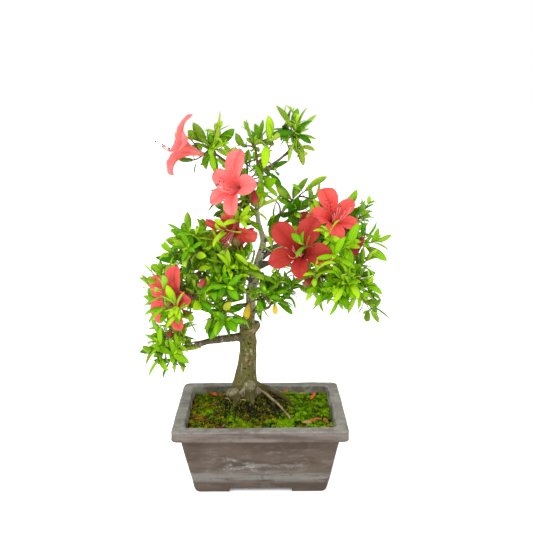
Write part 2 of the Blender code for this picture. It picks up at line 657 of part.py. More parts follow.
class Space:
    """The room that each mass keeps to: a rounded space, shared out by nearness, off the limbs."""

    def __init__(self, limbs, blooms):
        self.centres = np.array([mass.centre for mass in MASSES])
        self.sizes = np.array([sum(mass.reach) / 3 for mass in MASSES])
        self.limb_points, self.limb_radii = limb_samples(limbs)
        self.bloom_points = np.concatenate([bloom_points(bloom).reshape(-1, 3) for bloom in blooms])

    def own_share(self, points, index):
        """True where all points are nearer to this mass than to its neighbours, with a gap."""
        powers = ((points[:, None, :] - self.centres) ** 2).sum(axis=2) - self.sizes ** 2
        lead = powers - powers[:, index:index + 1]
        apart = np.linalg.norm(self.centres - self.centres[index], axis=1)
        lead[:, index] = np.inf
        reach = np.array((CROWN_REACH_X, CROWN_REACH_Y, CROWN_TOP)) + ROUNDING
        return bool((np.abs(points) < reach).all() and (lead > 2 * SPACE_GAP * apart).all())

    def off_limbs(self, points):
        """True where all points stand clear of the trunk and every bough."""
        away = np.linalg.norm(points[:, None, :] - self.limb_points, axis=2) - self.limb_radii
        return bool((away > LIMB_CLEARANCE + TWIG_TIP_RADIUS).all())

    def off_blooms(self, points, clearance=BLOOM_CLEARANCE):
        """True where all points stand clear of every bloom's petals."""
        away = np.linalg.norm(points[:, None, :] - self.bloom_points, axis=2)
        return bool((away > clearance).all())


def spread_places(space, index, rng):
    """Evenly spread ends for a mass's further sprays, each the loneliest of several throws."""
    mass = MASSES[index]
    centre = np.array(mass.centre)
    chosen = [np.array(tip) for tip in mass.tips]
    ends = []
    for _ in range(mass.sprays):
        best = None
        best_room = -1.0
        for _ in range(SPRAY_THROWS):
            throw = unit(rng.normal(size=3)) * rng.uniform(*SPRAY_DEPTH)
            place = centre + throw * np.array(mass.reach)
            test = place[None, :]
            if not (space.own_share(test, index) and space.off_limbs(test)
                    and space.off_blooms(test, SPRAY_BLOOM_CLEARANCE)):
                continue
            room = min(np.linalg.norm(place - other) for other in chosen + ends)
            if room > best_room:
                best = place
                best_room = room
        if best is not None:
            ends.append(best)
    return ends


@dataclass
class Spray:
    """The end of a twig: where it is, which way it points and what it bears."""

    place: np.ndarray
    heading: np.ndarray
    kind: str
    length: float = LEAF_LENGTH


def plan_sprays(space, index, rng):
    """Every twig end of a mass: reaching tips, even fill, blooms and buds."""
    mass = MASSES[index]
    centre = np.array(mass.centre)
    sprays = []
    for tip in mass.tips:
        heading = unit(np.array(tip) - centre)
        sprays.append(Spray(np.array(tip) - heading * (LEAF_LENGTH - LEAF_SINK), heading, "tip"))
    for bloom in mass.blooms:
        facing = unit(bloom.facing)
        sprays.append(Spray(np.array(bloom.place) + facing * BLOOM_SINK, facing, "bloom"))
    for bud in mass.buds:
        sprays.append(Spray(np.array(bud), unit(np.array(bud) - centre + BUD_LEAN), "bud"))
    for place in spread_places(space, index, rng):
        heading = unit(unit(place - centre) + SPRAY_RISE * UPRIGHT)
        sprays.append(Spray(place, heading, "fill"))
    return sprays


@dataclass
class Twig:
    """One twig: its points, the length travelled to each from the stem's foot."""

    points: np.ndarray
    travelled: np.ndarray


@dataclass
class Node:
    """A point where further twigs may join."""

    place: np.ndarray
    heading: np.ndarray
    travelled: float
    children: int = 0

    def cost_to(self, place):
        """How far a twig to a place would run, with a charge for a long way round or a crowd."""
        return (np.linalg.norm(place - self.place) + PATH_SHARE * self.travelled
                + CROWD_CHARGE * self.children)


def path_lengths(points):
    """Length travelled to each point of a path."""
    steps = np.linalg.norm(np.diff(points, axis=0), axis=1)
    return np.concatenate(((0.0,), np.cumsum(steps)))


def chord_samples(path):
    """Even samples along the straight runs of a path, for clearance tests."""
    share = np.linspace(0.0, 1.0, CHORD_SAMPLES, endpoint=False)[:, None]
    runs = [a + (b - a) * share for a, b in zip(path[:-1], path[1:])]
    return np.concatenate((*runs, path[-1:]))


def twig_path(start, start_heading, end, end_heading, steps):
    """A cubic curve that leaves along one heading and arrives along another."""
    gap = np.linalg.norm(end - start)
    first = start + start_heading * gap * TWIG_SWEEP
    second = end - end_heading * gap * TWIG_SWEEP
    t = np.linspace(0.0, 1.0, steps + 1)[:, None]
    return ((1 - t) ** 3 * start + 3 * t * (1 - t) ** 2 * first
            + 3 * t ** 2 * (1 - t) * second + t ** 3 * end)


def grow_twigs(space, index, start, heading, sprays):
    """Twigs of one mass: a stem to its heart, then one to each spray from where it is nearest."""
    centre = np.array(MASSES[index].centre)
    stem = twig_path(start, heading, centre, unit(centre - start), STEM_STEPS)
    twigs = [Twig(stem, path_lengths(stem))]
    nodes = []
    for k in range(1, STEM_STEPS + 1):
        along = unit(stem[k] - stem[k - 1])
        nodes.append(Node(stem[k] - along * JOINT_SINK, along, twigs[0].travelled[k]))
    reached = []
    for spray in sorted(sprays, key=lambda item: np.linalg.norm(item.place - start)):
        base = min(nodes, key=lambda node: node.cost_to(spray.place))
        path = twig_path(base.place, base.heading, spray.place, spray.heading, TWIG_STEPS)
        along = chord_samples(path)
        if not space.own_share(along, index) or not space.off_limbs(along):
            continue
        outer = along[CHORD_SAMPLES:]
        if spray.kind != "bloom" and not space.off_blooms(outer, TWIG_BLOOM_CLEARANCE):
            continue
        twig = Twig(path, base.travelled + path_lengths(path))
        twigs.append(twig)
        base.children += 1
        for k in range(1, TWIG_STEPS):
            nodes.append(Node(path[k], unit(path[k + 1] - path[k - 1]), twig.travelled[k]))
        reached.append(spray)
    return twigs, reached


def spray_leaf(spray, place, turn, size, rng):
    """One leaf of a spray: the lead leaf nearly straight on, the rest fanned out behind it."""
    first, second = side_axes(spray.heading)
    tilt = math.radians(LEAD_TILT + FAN_TILT * place / (LEAVES_PER_SPRAY - 1))
    length = spray.length * size * rng.uniform(*LEAF_SIZES)
    if spray.kind == "tip" and place == 0:
        tilt = 0.0
        length = spray.length
    outward = first * math.cos(turn) + second * math.sin(turn)
    heading = spray.heading * math.cos(tilt) + outward * math.sin(tilt)
    upward = spray.heading * math.sin(tilt) - outward * math.cos(tilt)
    root = spray.place - spray.heading * (LEAF_SINK + LEAF_SPACING * place)
    return leaf_corners(root, heading, upward, length)


def leaves_of(space, index, twigs, sprays, rng):
    """Every leaf of a mass that keeps to its space, off limbs, blooms, twigs and other leaves."""
    leaves = []
    taken = np.concatenate([chord_samples(twig.points) for twig in twigs])
    for spray in sprays:
        if spray.kind in ("bud", "bloom"):
            continue
        first_turn = rng.uniform(0, 2 * math.pi)
        for place in range(LEAVES_PER_SPRAY):
            for attempt in range(LEAF_ATTEMPTS):
                turn = first_turn + (place + attempt / LEAF_ATTEMPTS) * GOLDEN_ANGLE
                corners = spray_leaf(spray, place, turn, 1.0 - LEAF_SHRINK * attempt, rng)
                points = leaf_samples(corners)
                if not (space.own_share(points, index) and space.off_limbs(points)
                        and space.off_blooms(points)):
                    continue
                away = np.linalg.norm(points[:, None, :] - taken, axis=2)
                if (away > LEAF_CLEARANCE).all():
                    leaves.append(corners)
                    taken = np.concatenate((taken, points))
                    break
    return leaves


def leaf_samples(corners):
    """Points over the outer part of a leaf, for the clearance tests."""
    root, left, tip, right = corners[:4]
    rib = root + (tip - root) * RIB_SAMPLES[:, None]
    inner = [root + (side - root) * INNER_SAMPLES[:, None] for side in (left, right)]
    outer = [side + (tip - side) * OUTER_SAMPLES[:, None] for side in (left, right)]
    return np.concatenate((rib, *inner, *outer))


def add_twig(twig, longest, heading, finish, slimmer=1.0):
    """One three-sided tapering twig."""
    share = np.clip(twig.travelled / longest, 0.0, 1.0)
    radii = slimmer * (TWIG_STEM_RADIUS + (TWIG_TIP_RADIUS - TWIG_STEM_RADIUS) * share)
    rings = tube_rings(twig.points, radii, TWIG_SIDES, heading)
    return make_object("twig", *loft(rings), finish)


def keep_largest_body(item):
    """Drops loose scraps and fills sealed hollows: only the largest shell stays."""
    shape = bmesh.new()
    shape.from_mesh(item.data)
    unseen = set(shape.faces)
    bodies = []
    while unseen:
        body = []
        waiting = [unseen.pop()]
        while waiting:
            face = waiting.pop()
            body.append(face)
            neighbours = {other for edge in face.edges for other in edge.link_faces} & unseen
            unseen -= neighbours
            waiting.extend(neighbours)
        bodies.append(body)
    bodies.sort(key=len)
    for body in bodies[:-1]:
        bmesh.ops.delete(shape, geom=body, context="FACES")
    shape.to_mesh(item.data)
    shape.free()


def build_mass(space, index, limbs):
    """One foliage mass: twigs, leaves, blooms and buds joined into one solid."""
    mass = MASSES[index]
    rng = np.random.default_rng(mass.seed)
    start, heading = stem_start(mass, limbs)
    sprays = plan_sprays(space, index, rng)
    twigs, reached = grow_twigs(space, index, start, heading, sprays)
    longest = max(twig.travelled[-1] for twig in twigs)
    stem = add_twig(twigs[0], longest, heading, LEAF)
    stem.name = mass.name
    parts = [add_twig(twig, longest, unit(twig.points[1] - twig.points[0]), LEAF, SIDE_TWIG_SHARE)
             for twig in twigs[1:]]
    for spray in reached:
        if spray.kind == "bud":
            base = spray.place - spray.heading * BUD_SINK
            parts.append(make_object("bud", *bud_solid(base, spray.heading), LEAF))
    for corners in leaves_of(space, index, twigs, reached, rng):
        parts.append(make_object("leaf", corners, LEAF_FACES, LEAF))
    for bloom in mass.blooms:
        parts.append(add_bloom(bloom, LEAF))
    operands = bpy.data.collections.new(mass.name)
    for part in parts:
        bpy.context.scene.collection.objects.unlink(part)
        operands.objects.link(part)
    apply_boolean(stem, "UNION", operands=operands)
    keep_largest_body(stem)
    return stem


def stem_start(mass, limbs):
    """Where a mass's stem leaves its limb, clear of it by the gap, and which way it heads."""
    points, radii, _ = limbs[mass.limb]
    if mass.limb == "trunk":
        height = TRUNK_STEM_HEIGHTS[mass.name]
        return side_start(points, radii, height, mass.centre, TWIG_STEM_RADIUS)
    heading = unit(points[-1] - points[-2])
    return points[-1] + heading * GAP, heading


def main():
    """Builds the whole plant in its pot."""
    for item in list(bpy.data.objects):
        bpy.data.objects.remove(item)
    build_pot()
    build_moss()
    build_trunk()
    for name, bends, radii in ROOTS:
        build_root(name, bends, radii)
    limbs = all_limbs()
    for name, (points, radii, heading) in limbs.items():
        if name != "trunk":
            build_bough(name, points, radii, heading)
    space = Space(limbs, [bloom for mass in MASSES for bloom in mass.blooms])
    for index in range(len(MASSES)):
        build_mass(space, index, limbs)


main()
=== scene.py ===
"""Flowering azalea bonsai in its clay pot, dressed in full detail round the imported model, in metres."""

import json
import logging
import math
from dataclasses import dataclass
from enum import Enum

import bpy
import numpy as np
from bpy.types import Material, NodeTree, Object
from bpy.types import NodeSocket as Socket
from mathutils import Matrix
from numpy import ndarray as Array
from numpy.linalg import norm
from numpy.random import Generator, default_rng

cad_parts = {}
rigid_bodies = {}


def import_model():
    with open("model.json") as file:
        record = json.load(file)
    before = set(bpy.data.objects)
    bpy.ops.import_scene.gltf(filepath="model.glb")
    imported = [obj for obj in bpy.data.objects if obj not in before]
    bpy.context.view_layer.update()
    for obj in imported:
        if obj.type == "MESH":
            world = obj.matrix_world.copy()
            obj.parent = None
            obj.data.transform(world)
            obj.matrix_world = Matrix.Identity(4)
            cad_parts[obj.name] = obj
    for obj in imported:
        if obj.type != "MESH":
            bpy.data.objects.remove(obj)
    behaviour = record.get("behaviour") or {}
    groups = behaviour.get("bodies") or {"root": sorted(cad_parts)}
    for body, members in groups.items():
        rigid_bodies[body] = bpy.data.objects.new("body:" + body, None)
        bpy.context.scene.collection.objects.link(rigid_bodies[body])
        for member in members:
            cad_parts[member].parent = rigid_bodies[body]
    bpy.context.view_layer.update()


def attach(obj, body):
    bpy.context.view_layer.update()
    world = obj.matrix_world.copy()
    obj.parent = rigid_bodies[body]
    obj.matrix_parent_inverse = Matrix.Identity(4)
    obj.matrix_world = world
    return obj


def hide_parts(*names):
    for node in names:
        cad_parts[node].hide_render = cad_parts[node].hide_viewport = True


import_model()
LOG = logging.getLogger("azalea")

Point = tuple[float, float, float]
Colour = tuple[float, float, float]

UPRIGHT = np.array((0.0, 0.0, 1.0))
GOLDEN_ANGLE = math.pi * (3.0 - math.sqrt(5.0))
TAU = 2.0 * math.pi
TWIG_SWEEP = 0.33                 # how long a twig holds its first and last heading


# ---- numbers on arrays


def unit(vectors: Array) -> Array:
    """Vectors at length one, along the last axis."""
    vectors = np.asarray(vectors, dtype=float)
    return vectors / np.maximum(norm(vectors, axis=-1, keepdims=True), 1e-12)


def side_axes(direction: Array) -> tuple[Array, Array]:
    """Two unit axes square to a direction and to each other.

    Args:
        direction: a unit direction.

    Returns:
        The two axes.
    """
    helper = UPRIGHT if abs(direction[2]) < 0.9 else np.array((1.0, 0.0, 0.0))
    first = unit(np.cross(helper, direction))
    return first, np.cross(direction, first)


def smooth_step(values: Array, low: float, high: float) -> Array:
    """Zero below low, one above high, and an easy S between them."""
    share = np.clip((np.asarray(values, dtype=float) - low) / (high - low), 0.0, 1.0)
    return share * share * (3.0 - 2.0 * share)


def wrapped(angles: Array) -> Array:
    """Angles brought between minus and plus half a turn."""
    return (angles + math.pi) % TAU - math.pi


def lattice_noise(points: Array, cell: float, seed: int) -> Array:
    """Smooth random relief: a hashed value at each corner of a grid of cells, eased between them.

    Args:
        points: places, any shape with three numbers last.
        cell: size of one cell in metres.
        seed: which random pattern.

    Returns:
        Values between minus one and one, one for each place.
    """
    scaled = points / cell
    low = np.floor(scaled).astype(np.int64)
    part = scaled - low
    ease = part * part * (3.0 - 2.0 * part)
    total = np.zeros(points.shape[:-1])
    for corner in np.ndindex(2, 2, 2):
        spot = low + np.array(corner)
        key = spot[..., 0] * 73856093 ^ spot[..., 1] * 19349663 ^ spot[..., 2] * 83492791 ^ seed * 2654435
        key = ((key & 0xFFFFFFF) ^ ((key & 0xFFFFFFF) >> 13)) * 1274126177 & 0xFFFFFFFF
        value = ((key >> 8) & 0xFFFF) / 32767.5 - 1.0
        weight = np.where(np.array(corner) == 1, ease, 1.0 - ease).prod(axis=-1)
        total += value * weight
    return total


def rough_noise(points: Array, cell: float, seed: int, octaves: int = 3) -> Array:
    """Relief of several sizes: each octave has half the cell and half the height of the last.

    Args:
        points: places, any shape with three numbers last.
        cell: size of the largest cell in metres.
        seed: which random pattern.
        octaves: how many sizes.

    Returns:
        One value for each place.
    """
    total = np.zeros(points.shape[:-1])
    for octave in range(octaves):
        total += lattice_noise(points, cell / 2 ** octave, seed + octave) / 2 ** octave
    return total


def smooth_curve(points: Array, count: int) -> Array:
    """Evenly counted points of a Catmull-Rom curve through bends of any width.

    Args:
        points: the bends, one to a row.
        count: how many points to return.

    Returns:
        The curve's points, one to a row.
    """
    points = np.asarray(points, dtype=float)
    padded = np.vstack((2 * points[0] - points[1], points, 2 * points[-1] - points[-2]))
    spans = len(points) - 1
    places = np.linspace(0.0, spans, count)
    span = np.minimum(places.astype(int), spans - 1)
    t = (places - span)[:, None]
    a, b, c, d = (padded[span + k] for k in range(4))
    bent, twisted = 2 * a - 5 * b + 4 * c - d, 3 * b - a - 3 * c + d
    return 0.5 * (2 * b + (c - a) * t + bent * t ** 2 + twisted * t ** 3)


def at_height(points: Array, height: float) -> Array:
    """The point of a rising line at a height."""
    return np.array([np.interp(height, points[:, 2], points[:, axis]) for axis in range(3)])


def cubic_paths(start: Array, leaving: Array, end: Array, arriving: Array, steps: int) -> Array:
    """Cubic curves that leave along one heading and arrive along another.

    Args:
        start: first points, (n, 3).
        leaving: headings at the start, (n, 3).
        end: last points, (n, 3).
        arriving: headings at the end, (n, 3).
        steps: straight runs in each curve.

    Returns:
        Points (n, steps + 1, 3).
    """
    reach = norm(end - start, axis=-1, keepdims=True) * TWIG_SWEEP
    t = np.linspace(0.0, 1.0, steps + 1)[None, :, None]
    first, second = (start + leaving * reach)[:, None], (end - arriving * reach)[:, None]
    start, end, back = start[:, None], end[:, None], 1 - t
    return back ** 3 * start + 3 * t * back ** 2 * first + 3 * t ** 2 * back * second + t ** 3 * end


# ---- shapes


@dataclass
class Shape:
    """Points with four- and three-cornered faces, and a place on the pattern for each corner."""

    points: Array
    quads: Array
    tris: Array
    quad_places: Array
    tri_places: Array


def joined(shapes: list[Shape]) -> Shape:
    """Several shapes as one.

    Args:
        shapes: what to join.

    Returns:
        One shape with all their points and faces.
    """
    offsets = np.concatenate(((0,), np.cumsum([len(shape.points) for shape in shapes])))[:-1]
    return Shape(np.concatenate([shape.points for shape in shapes]),
        np.concatenate([shape.quads + offset for shape, offset in zip(shapes, offsets)]),
        np.concatenate([shape.tris + offset for shape, offset in zip(shapes, offsets)]),
        np.concatenate([shape.quad_places for shape in shapes]),
        np.concatenate([shape.tri_places for shape in shapes]))


def grids(points: Array, ring: bool = True, caps: bool = True, turns: float = 1.0) -> Shape:
    """Quads over many grids at once; a ring closes on itself, caps are fans to a middle point.

    Args:
        points: (n, rows, columns, 3).
        ring: whether the last column meets the first.
        caps: whether the first and last rows are closed.
        turns: pattern width for the way round; the way along always measures one.

    Returns:
        The shape of all n grids.
    """
    count, rows, columns = points.shape[:3]
    index = np.arange(count * rows * columns).reshape(count, rows, columns)
    after = np.roll(index, -1, axis=2)
    cells = columns if ring else columns - 1
    quads = np.stack((index[:, :-1, :cells], after[:, :-1, :cells], after[:, 1:, :cells],
        index[:, 1:, :cells]), axis=-1).reshape(-1, 4)
    across, along = np.meshgrid(np.arange(cells) / cells, np.arange(rows - 1) / (rows - 1))
    step_u, step_v = 1.0 / cells, 1.0 / (rows - 1)
    steps = np.array(((0.0, 0.0), (step_u, 0.0), (step_u, step_v), (0.0, step_v)))
    corners = (np.stack((across, along), -1)[:, :, None] + steps) * np.array((turns, 1.0))
    quad_places = np.broadcast_to(corners.reshape(1, -1, 4, 2), (count, cells * (rows - 1), 4, 2))
    flat = points.reshape(-1, 3)
    tris = np.zeros((0, 3), dtype=np.int64)
    tri_places = np.zeros((0, 3, 2))
    if caps:
        middles = np.concatenate((points[:, 0].mean(axis=1), points[:, -1].mean(axis=1)))
        low = len(flat) + np.arange(count)[:, None]
        high = low + count
        bottom = np.stack(np.broadcast_arrays(low, after[:, 0], index[:, 0]), -1)
        top = np.stack(np.broadcast_arrays(high, index[:, -1], after[:, -1]), -1)
        tris = np.concatenate((bottom.reshape(-1, 3), top.reshape(-1, 3)))
        ends = np.repeat((0.0, 1.0), len(tris) // 2)
        tri_places = np.broadcast_to(ends[:, None, None], (len(tris), 3, 2)).copy()
        tri_places[..., 0] = 0.5 * turns
        flat = np.concatenate((flat, middles))
    return Shape(flat, quads, tris, quad_places.reshape(-1, 4, 2), tri_places)


def border(grid: Array) -> Array:
    """The outer points of a grid, in order round it."""
    return np.concatenate((grid[0, :-1], grid[:-1, -1], grid[-1, :0:-1], grid[:0:-1, 0]))


def ring_spokes(headings: Array, helper: Array, sides: int) -> Array:
    """Unit spokes square to headings (..., 3), the first also square to a helper: (..., sides, 3).

    Args:
        headings: unit headings, (..., 3).
        helper: directions beside them.
        sides: how many spokes.

    Returns:
        Unit spokes, (..., sides, 3).
    """
    first = unit(np.cross(helper, headings))[..., None, :]
    second = np.cross(headings[..., None, :], first)
    angles = np.arange(sides) * TAU / sides
    return np.cos(angles)[:, None] * first + np.sin(angles)[:, None] * second


def tube_spokes(paths: Array, sides: int) -> Array:
    """Spokes square to paths (n, rings, 3), turned by the world axis that each is furthest from."""
    headings = unit(np.gradient(paths, axis=1))
    return ring_spokes(headings, np.eye(3)[np.abs(headings).max(axis=1).argmin(axis=1)][:, None], sides)


def tube_points(paths: Array, radii: Array, sides: int) -> Array:
    """Rings (n, rings, sides, 3) of radii (n, rings) round paths (n, rings, 3)."""
    return paths[:, :, None] + radii[..., None, None] * tube_spokes(paths, sides)


def mesh_object(name: str, shape: Shape, material: Material) -> Object:
    """A smooth-shaded object at the origin made of a shape.

    Args:
        name: the piece's name.
        shape: its points and faces.
        material: its finish.

    Returns:
        The new object.
    """
    mesh = bpy.data.meshes.new(name)
    corners = np.concatenate((shape.quads.ravel(), shape.tris.ravel())).astype(np.int32)
    sizes = np.concatenate((np.full(len(shape.quads), 4), np.full(len(shape.tris), 3)))
    starts = np.concatenate(((0,), np.cumsum(sizes)))[:-1]
    mesh.vertices.add(len(shape.points))
    mesh.vertices.foreach_set("co", shape.points.astype(np.float32).ravel())
    mesh.loops.add(len(corners))
    mesh.loops.foreach_set("vertex_index", corners)
    mesh.polygons.add(len(sizes))
    mesh.polygons.foreach_set("loop_start", starts.astype(np.int32))
    mesh.update(calc_edges=True)
    mesh.shade_smooth()
    layer = mesh.uv_layers.new(name="pattern")
    places = np.concatenate((shape.quad_places.reshape(-1, 2), shape.tri_places.reshape(-1, 2)))
    layer.uv.foreach_set("vector", places.astype(np.float32).ravel())
    mesh.materials.append(material)
    item = bpy.data.objects.new(name, mesh)
    bpy.context.scene.collection.objects.link(item)
    return item


def piece(name: str, shapes: list[Shape], material: Material, slot: str, *replaced: str) -> Object:
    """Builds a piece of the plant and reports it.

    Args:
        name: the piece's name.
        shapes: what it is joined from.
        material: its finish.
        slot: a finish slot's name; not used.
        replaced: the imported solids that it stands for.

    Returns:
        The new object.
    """
    item = mesh_object(name, joined(shapes), material)
    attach(item, "root")
    if replaced:
        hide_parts(*replaced)
    LOG.info("%s: %d faces", name, len(item.data.polygons))
    return item


# ---- finishes


class Sheet:
    """A node tree being filled in, one node at a time."""

    def __init__(self, tree: NodeTree) -> None:
        """Keeps the tree."""
        self.tree = tree

    def add(self, kind: str, inputs: dict | None = None, **settings: object) -> bpy.types.Node:
        """Adds a node.

        Args:
            kind: the node's type.
            inputs: a number, colour or another node's output for each input, by name or place.
            settings: values of the node itself.

        Returns:
            The new node.
        """
        node = self.tree.nodes.new(kind)
        for name, value in settings.items():
            setattr(node, name, value)
        for name, value in (inputs or {}).items():
            if isinstance(value, Socket):
                self.tree.links.new(value, node.inputs[name])
            else:
                node.inputs[name].default_value = value
        return node

    def maths(self, operation: str, first: object, second: object = 0.0, third: object = 0.0) -> Socket:
        """The result of one sum on up to three values."""
        return self.add("ShaderNodeMath", {0: first, 1: second, 2: third}, operation=operation).outputs[0]

    def times(self, first: object, *others: object) -> object:
        """The product of values.

        Args:
            first: a value.
            others: what it is multiplied by.

        Returns:
            The product.
        """
        for other in others:
            first = self.maths("MULTIPLY", first, other)
        return first

    def mix(self, share: object, first: object, second: object) -> Socket:
        """A colour between two.

        Args:
            share: how much of the second.
            first: a colour or an output.
            second: another.

        Returns:
            The mixed colour.
        """
        colours = [colour if isinstance(colour, Socket) else (*colour, 1.0) for colour in (first, second)]
        inputs = {0: share, 6: colours[0], 7: colours[1]}
        return self.add("ShaderNodeMix", inputs, data_type="RGBA").outputs[2]

    def ease(self, value: object, low: object, high: object) -> Socket:
        """A value made zero at low and one at high, with an easy S between."""
        inputs = {"Value": value, "From Min": low, "From Max": high}
        return self.add("ShaderNodeMapRange", inputs, interpolation_type="SMOOTHSTEP").outputs["Result"]

    def band(self, value: object, low: float, full: float, last: float, high: float) -> object:
        """A value made one between full and last, easing to zero at low and at high."""
        return self.times(self.ease(value, low, full), self.ease(value, high, last))

    def noise(self, places: object, scale: object, detail: float = 3.0, roughness: float = 0.5) -> Socket:
        """Cloudy noise over places."""
        inputs = {"Vector": places, "Scale": scale, "Detail": detail, "Roughness": roughness}
        return self.add("ShaderNodeTexNoise", inputs).outputs["Fac"]


class Effect(Sheet):
    """A shared node group that reads places and a few values, and puts out one value."""

    def __init__(self, name: str, **usual: float) -> None:
        """Starts the group with an input for places and one for each usual value.

        Args:
            name: the group's name.
            usual: the usual value of each further input.
        """
        super().__init__(bpy.data.node_groups.new(name, "ShaderNodeTree"))
        sockets = self.tree.interface
        sockets.new_socket("Places", in_out="INPUT", socket_type="NodeSocketVector")
        for label, value in usual.items():
            socket = sockets.new_socket(label, in_out="INPUT", socket_type="NodeSocketFloat")
            socket.default_value = value
        sockets.new_socket("Value", in_out="OUTPUT", socket_type="NodeSocketFloat")
        self.source = self.tree.nodes.new("NodeGroupInput")

    def given(self, label: str) -> Socket:
        """One of the group's inputs."""
        return self.source.outputs[label]

    def finished(self, value: Socket) -> NodeTree:
        """Puts a value out."""
        self.tree.links.new(value, self.tree.nodes.new("NodeGroupOutput").inputs["Value"])
        return self.tree


def mottle_effect() -> NodeTree:
    """Soft-edged patches: cloudy noise cut between two levels.

    Returns:
        The node group.
    """
    made = Effect("mottle", Scale=50.0, Low=0.45, High=0.6)
    cloud = made.noise(made.given("Places"), made.given("Scale"), 4.0)
    return made.finished(made.ease(cloud, made.given("Low"), made.given("High")))


def grain_effect() -> NodeTree:
    """Height of a gritty surface: coarse swells, with fine grit on them by a share.

    Returns:
        The node group.
    """
    made = Effect("grain", Coarse=60.0, Fine=400.0, Share=0.5)
    swell = made.noise(made.given("Places"), made.given("Coarse"))
    grit = made.noise(made.given("Places"), made.given("Fine"), 2.0)
    return made.finished(made.maths("MULTIPLY_ADD", grit, made.given("Share"), swell))


def specks_effect() -> NodeTree:
    """Small round spots, each in its own cell, of a size that noise changes.

    Returns:
        The node group.
    """
    made = Effect("specks", Scale=300.0, Size=0.25)
    cells = made.add("ShaderNodeTexVoronoi", {"Vector": made.given("Places"), "Scale": made.given("Scale")})
    limit = made.times(made.given("Size"), made.noise(made.given("Places"), 90.0, 1.0))
    return made.finished(made.ease(made.maths("SUBTRACT", limit, cells.outputs["Distance"]), 0.0, 0.06))


MOTTLE = mottle_effect()
GRAIN = grain_effect()
SPECKS = specks_effect()


class Finish(Sheet):
    """A material under a name, with its Principled shader and the coats of colour laid on it."""

    def __init__(self, name: str, roughness: float, colour: Colour, gloss: float = 0.12) -> None:
        """Starts the material with one colour all over.

        Args:
            name: the material's name.
            roughness: its roughness.
            colour: its first colour.
            gloss: its specular level.
        """
        self.made = bpy.data.materials.new(name)
        self.made.use_nodes = True
        super().__init__(self.made.node_tree)
        self.shader = self.tree.nodes["Principled BSDF"]
        self.shader.inputs["Roughness"].default_value = roughness
        self.shader.inputs["Specular IOR Level"].default_value = gloss
        source = self.add("ShaderNodeTexCoord")
        self.places = source.outputs["Object"]
        self.pattern = source.outputs["UV"]
        self.colour: object = colour

    def feed(self, socket: str, value: Socket) -> None:
        """Links a value into the shader."""
        self.tree.links.new(value, self.shader.inputs[socket])

    def axis(self, letter: str, places: object = None) -> Socket:
        """One of the three numbers of places."""
        return self.add("ShaderNodeSeparateXYZ", {0: places or self.places}).outputs[letter]

    def off_middle(self, turn: object) -> Socket:
        """How far a count is from the middle of its whole step, zero to a half."""
        return self.maths("ABSOLUTE", self.maths("SUBTRACT", self.maths("FRACT", turn), 0.5))

    def stretched(self, scale: Colour) -> Socket:
        """Places drawn out along an axis."""
        return self.add("ShaderNodeMapping", {"Vector": self.places, "Scale": scale}).outputs["Vector"]

    def shared(self, tree: NodeTree, places: object, **values: float) -> Socket:
        """The value of a shared effect at places."""
        inputs = {"Places": places or self.places, **values}
        return self.add("ShaderNodeGroup", inputs, node_tree=tree).outputs["Value"]

    def mottle(self, scale: float, low: float, high: float, places: object = None) -> Socket:
        """A mask of soft-edged patches."""
        return self.shared(MOTTLE, places, Scale=scale, Low=low, High=high)

    def grain(self, coarse: float, fine: float, share: float, places: object = None) -> Socket:
        """The height of a gritty surface."""
        return self.shared(GRAIN, places, Coarse=coarse, Fine=fine, Share=share)

    def specks(self, scale: float, size: float) -> Socket:
        """A mask of small round spots."""
        return self.shared(SPECKS, None, Scale=scale, Size=size)

    def coat(self, colour: object, share: float, *masks: object) -> None:
        """Lays a colour over the last one, by a share and by masks multiplied together."""
        self.colour = self.mix(self.times(*masks, share), self.colour, colour)

    def worn(self, mask: object, span: float, low: float) -> None:
        """Lets a mask vary the roughness by a span from a low value."""
        self.feed("Roughness", self.maths("MULTIPLY_ADD", mask, span, low))

    def done(self, height: object, depth: float, strength: float = 1.0) -> Material:
        """Feeds the colours and a relief of a depth in metres, and hands over the material.

        Args:
            height: the relief's height.
            depth: its depth in metres.
            strength: how much of it shows.

        Returns:
            The material.
        """
        self.feed("Base Color", self.colour)
        inputs = {"Height": height, "Distance": depth, "Strength": strength}
        self.feed("Normal", self.add("ShaderNodeBump", inputs).outputs["Normal"])
        return self.made


@dataclass(frozen=True)
class LeafTint:
    """Living leaf: a body colour, a paler midrib and underside, and a waxy face."""

    name: str
    body: Colour
    rib: Colour
    under: Colour
    roughness: float = 0.42

    def material(self) -> Material:
        """Builds it: pattern u runs round the blade, under first and then over.

        Returns:
            The material.
        """
        finish = Finish(self.name, self.roughness, self.body, 0.06)
        turn, along = finish.axis("X", finish.pattern), finish.axis("Y", finish.pattern)
        across = finish.off_middle(turn)
        rib = finish.ease(across, 0.065, 0.02)
        veins = finish.maths("SINE", finish.maths("MULTIPLY_ADD", across, -22.0, finish.times(along, 52.0)))
        cloud = finish.mottle(70.0, 0.3, 0.7)
        finish.coat(self.rib, 0.45, cloud)
        finish.coat(self.rib, 0.22, finish.ease(veins, 0.6, 1.0))
        finish.coat(self.rib, 0.7, rib)
        under = finish.mix(finish.times(rib, 0.5), self.under, self.rib)
        finish.coat(under, 1.0, finish.ease(turn, 1.02, 0.98))
        finish.worn(cloud, 0.14, self.roughness - 0.07)
        return finish.done(finish.maths("MULTIPLY_ADD", veins, 0.25, rib), 0.0003, 0.6)


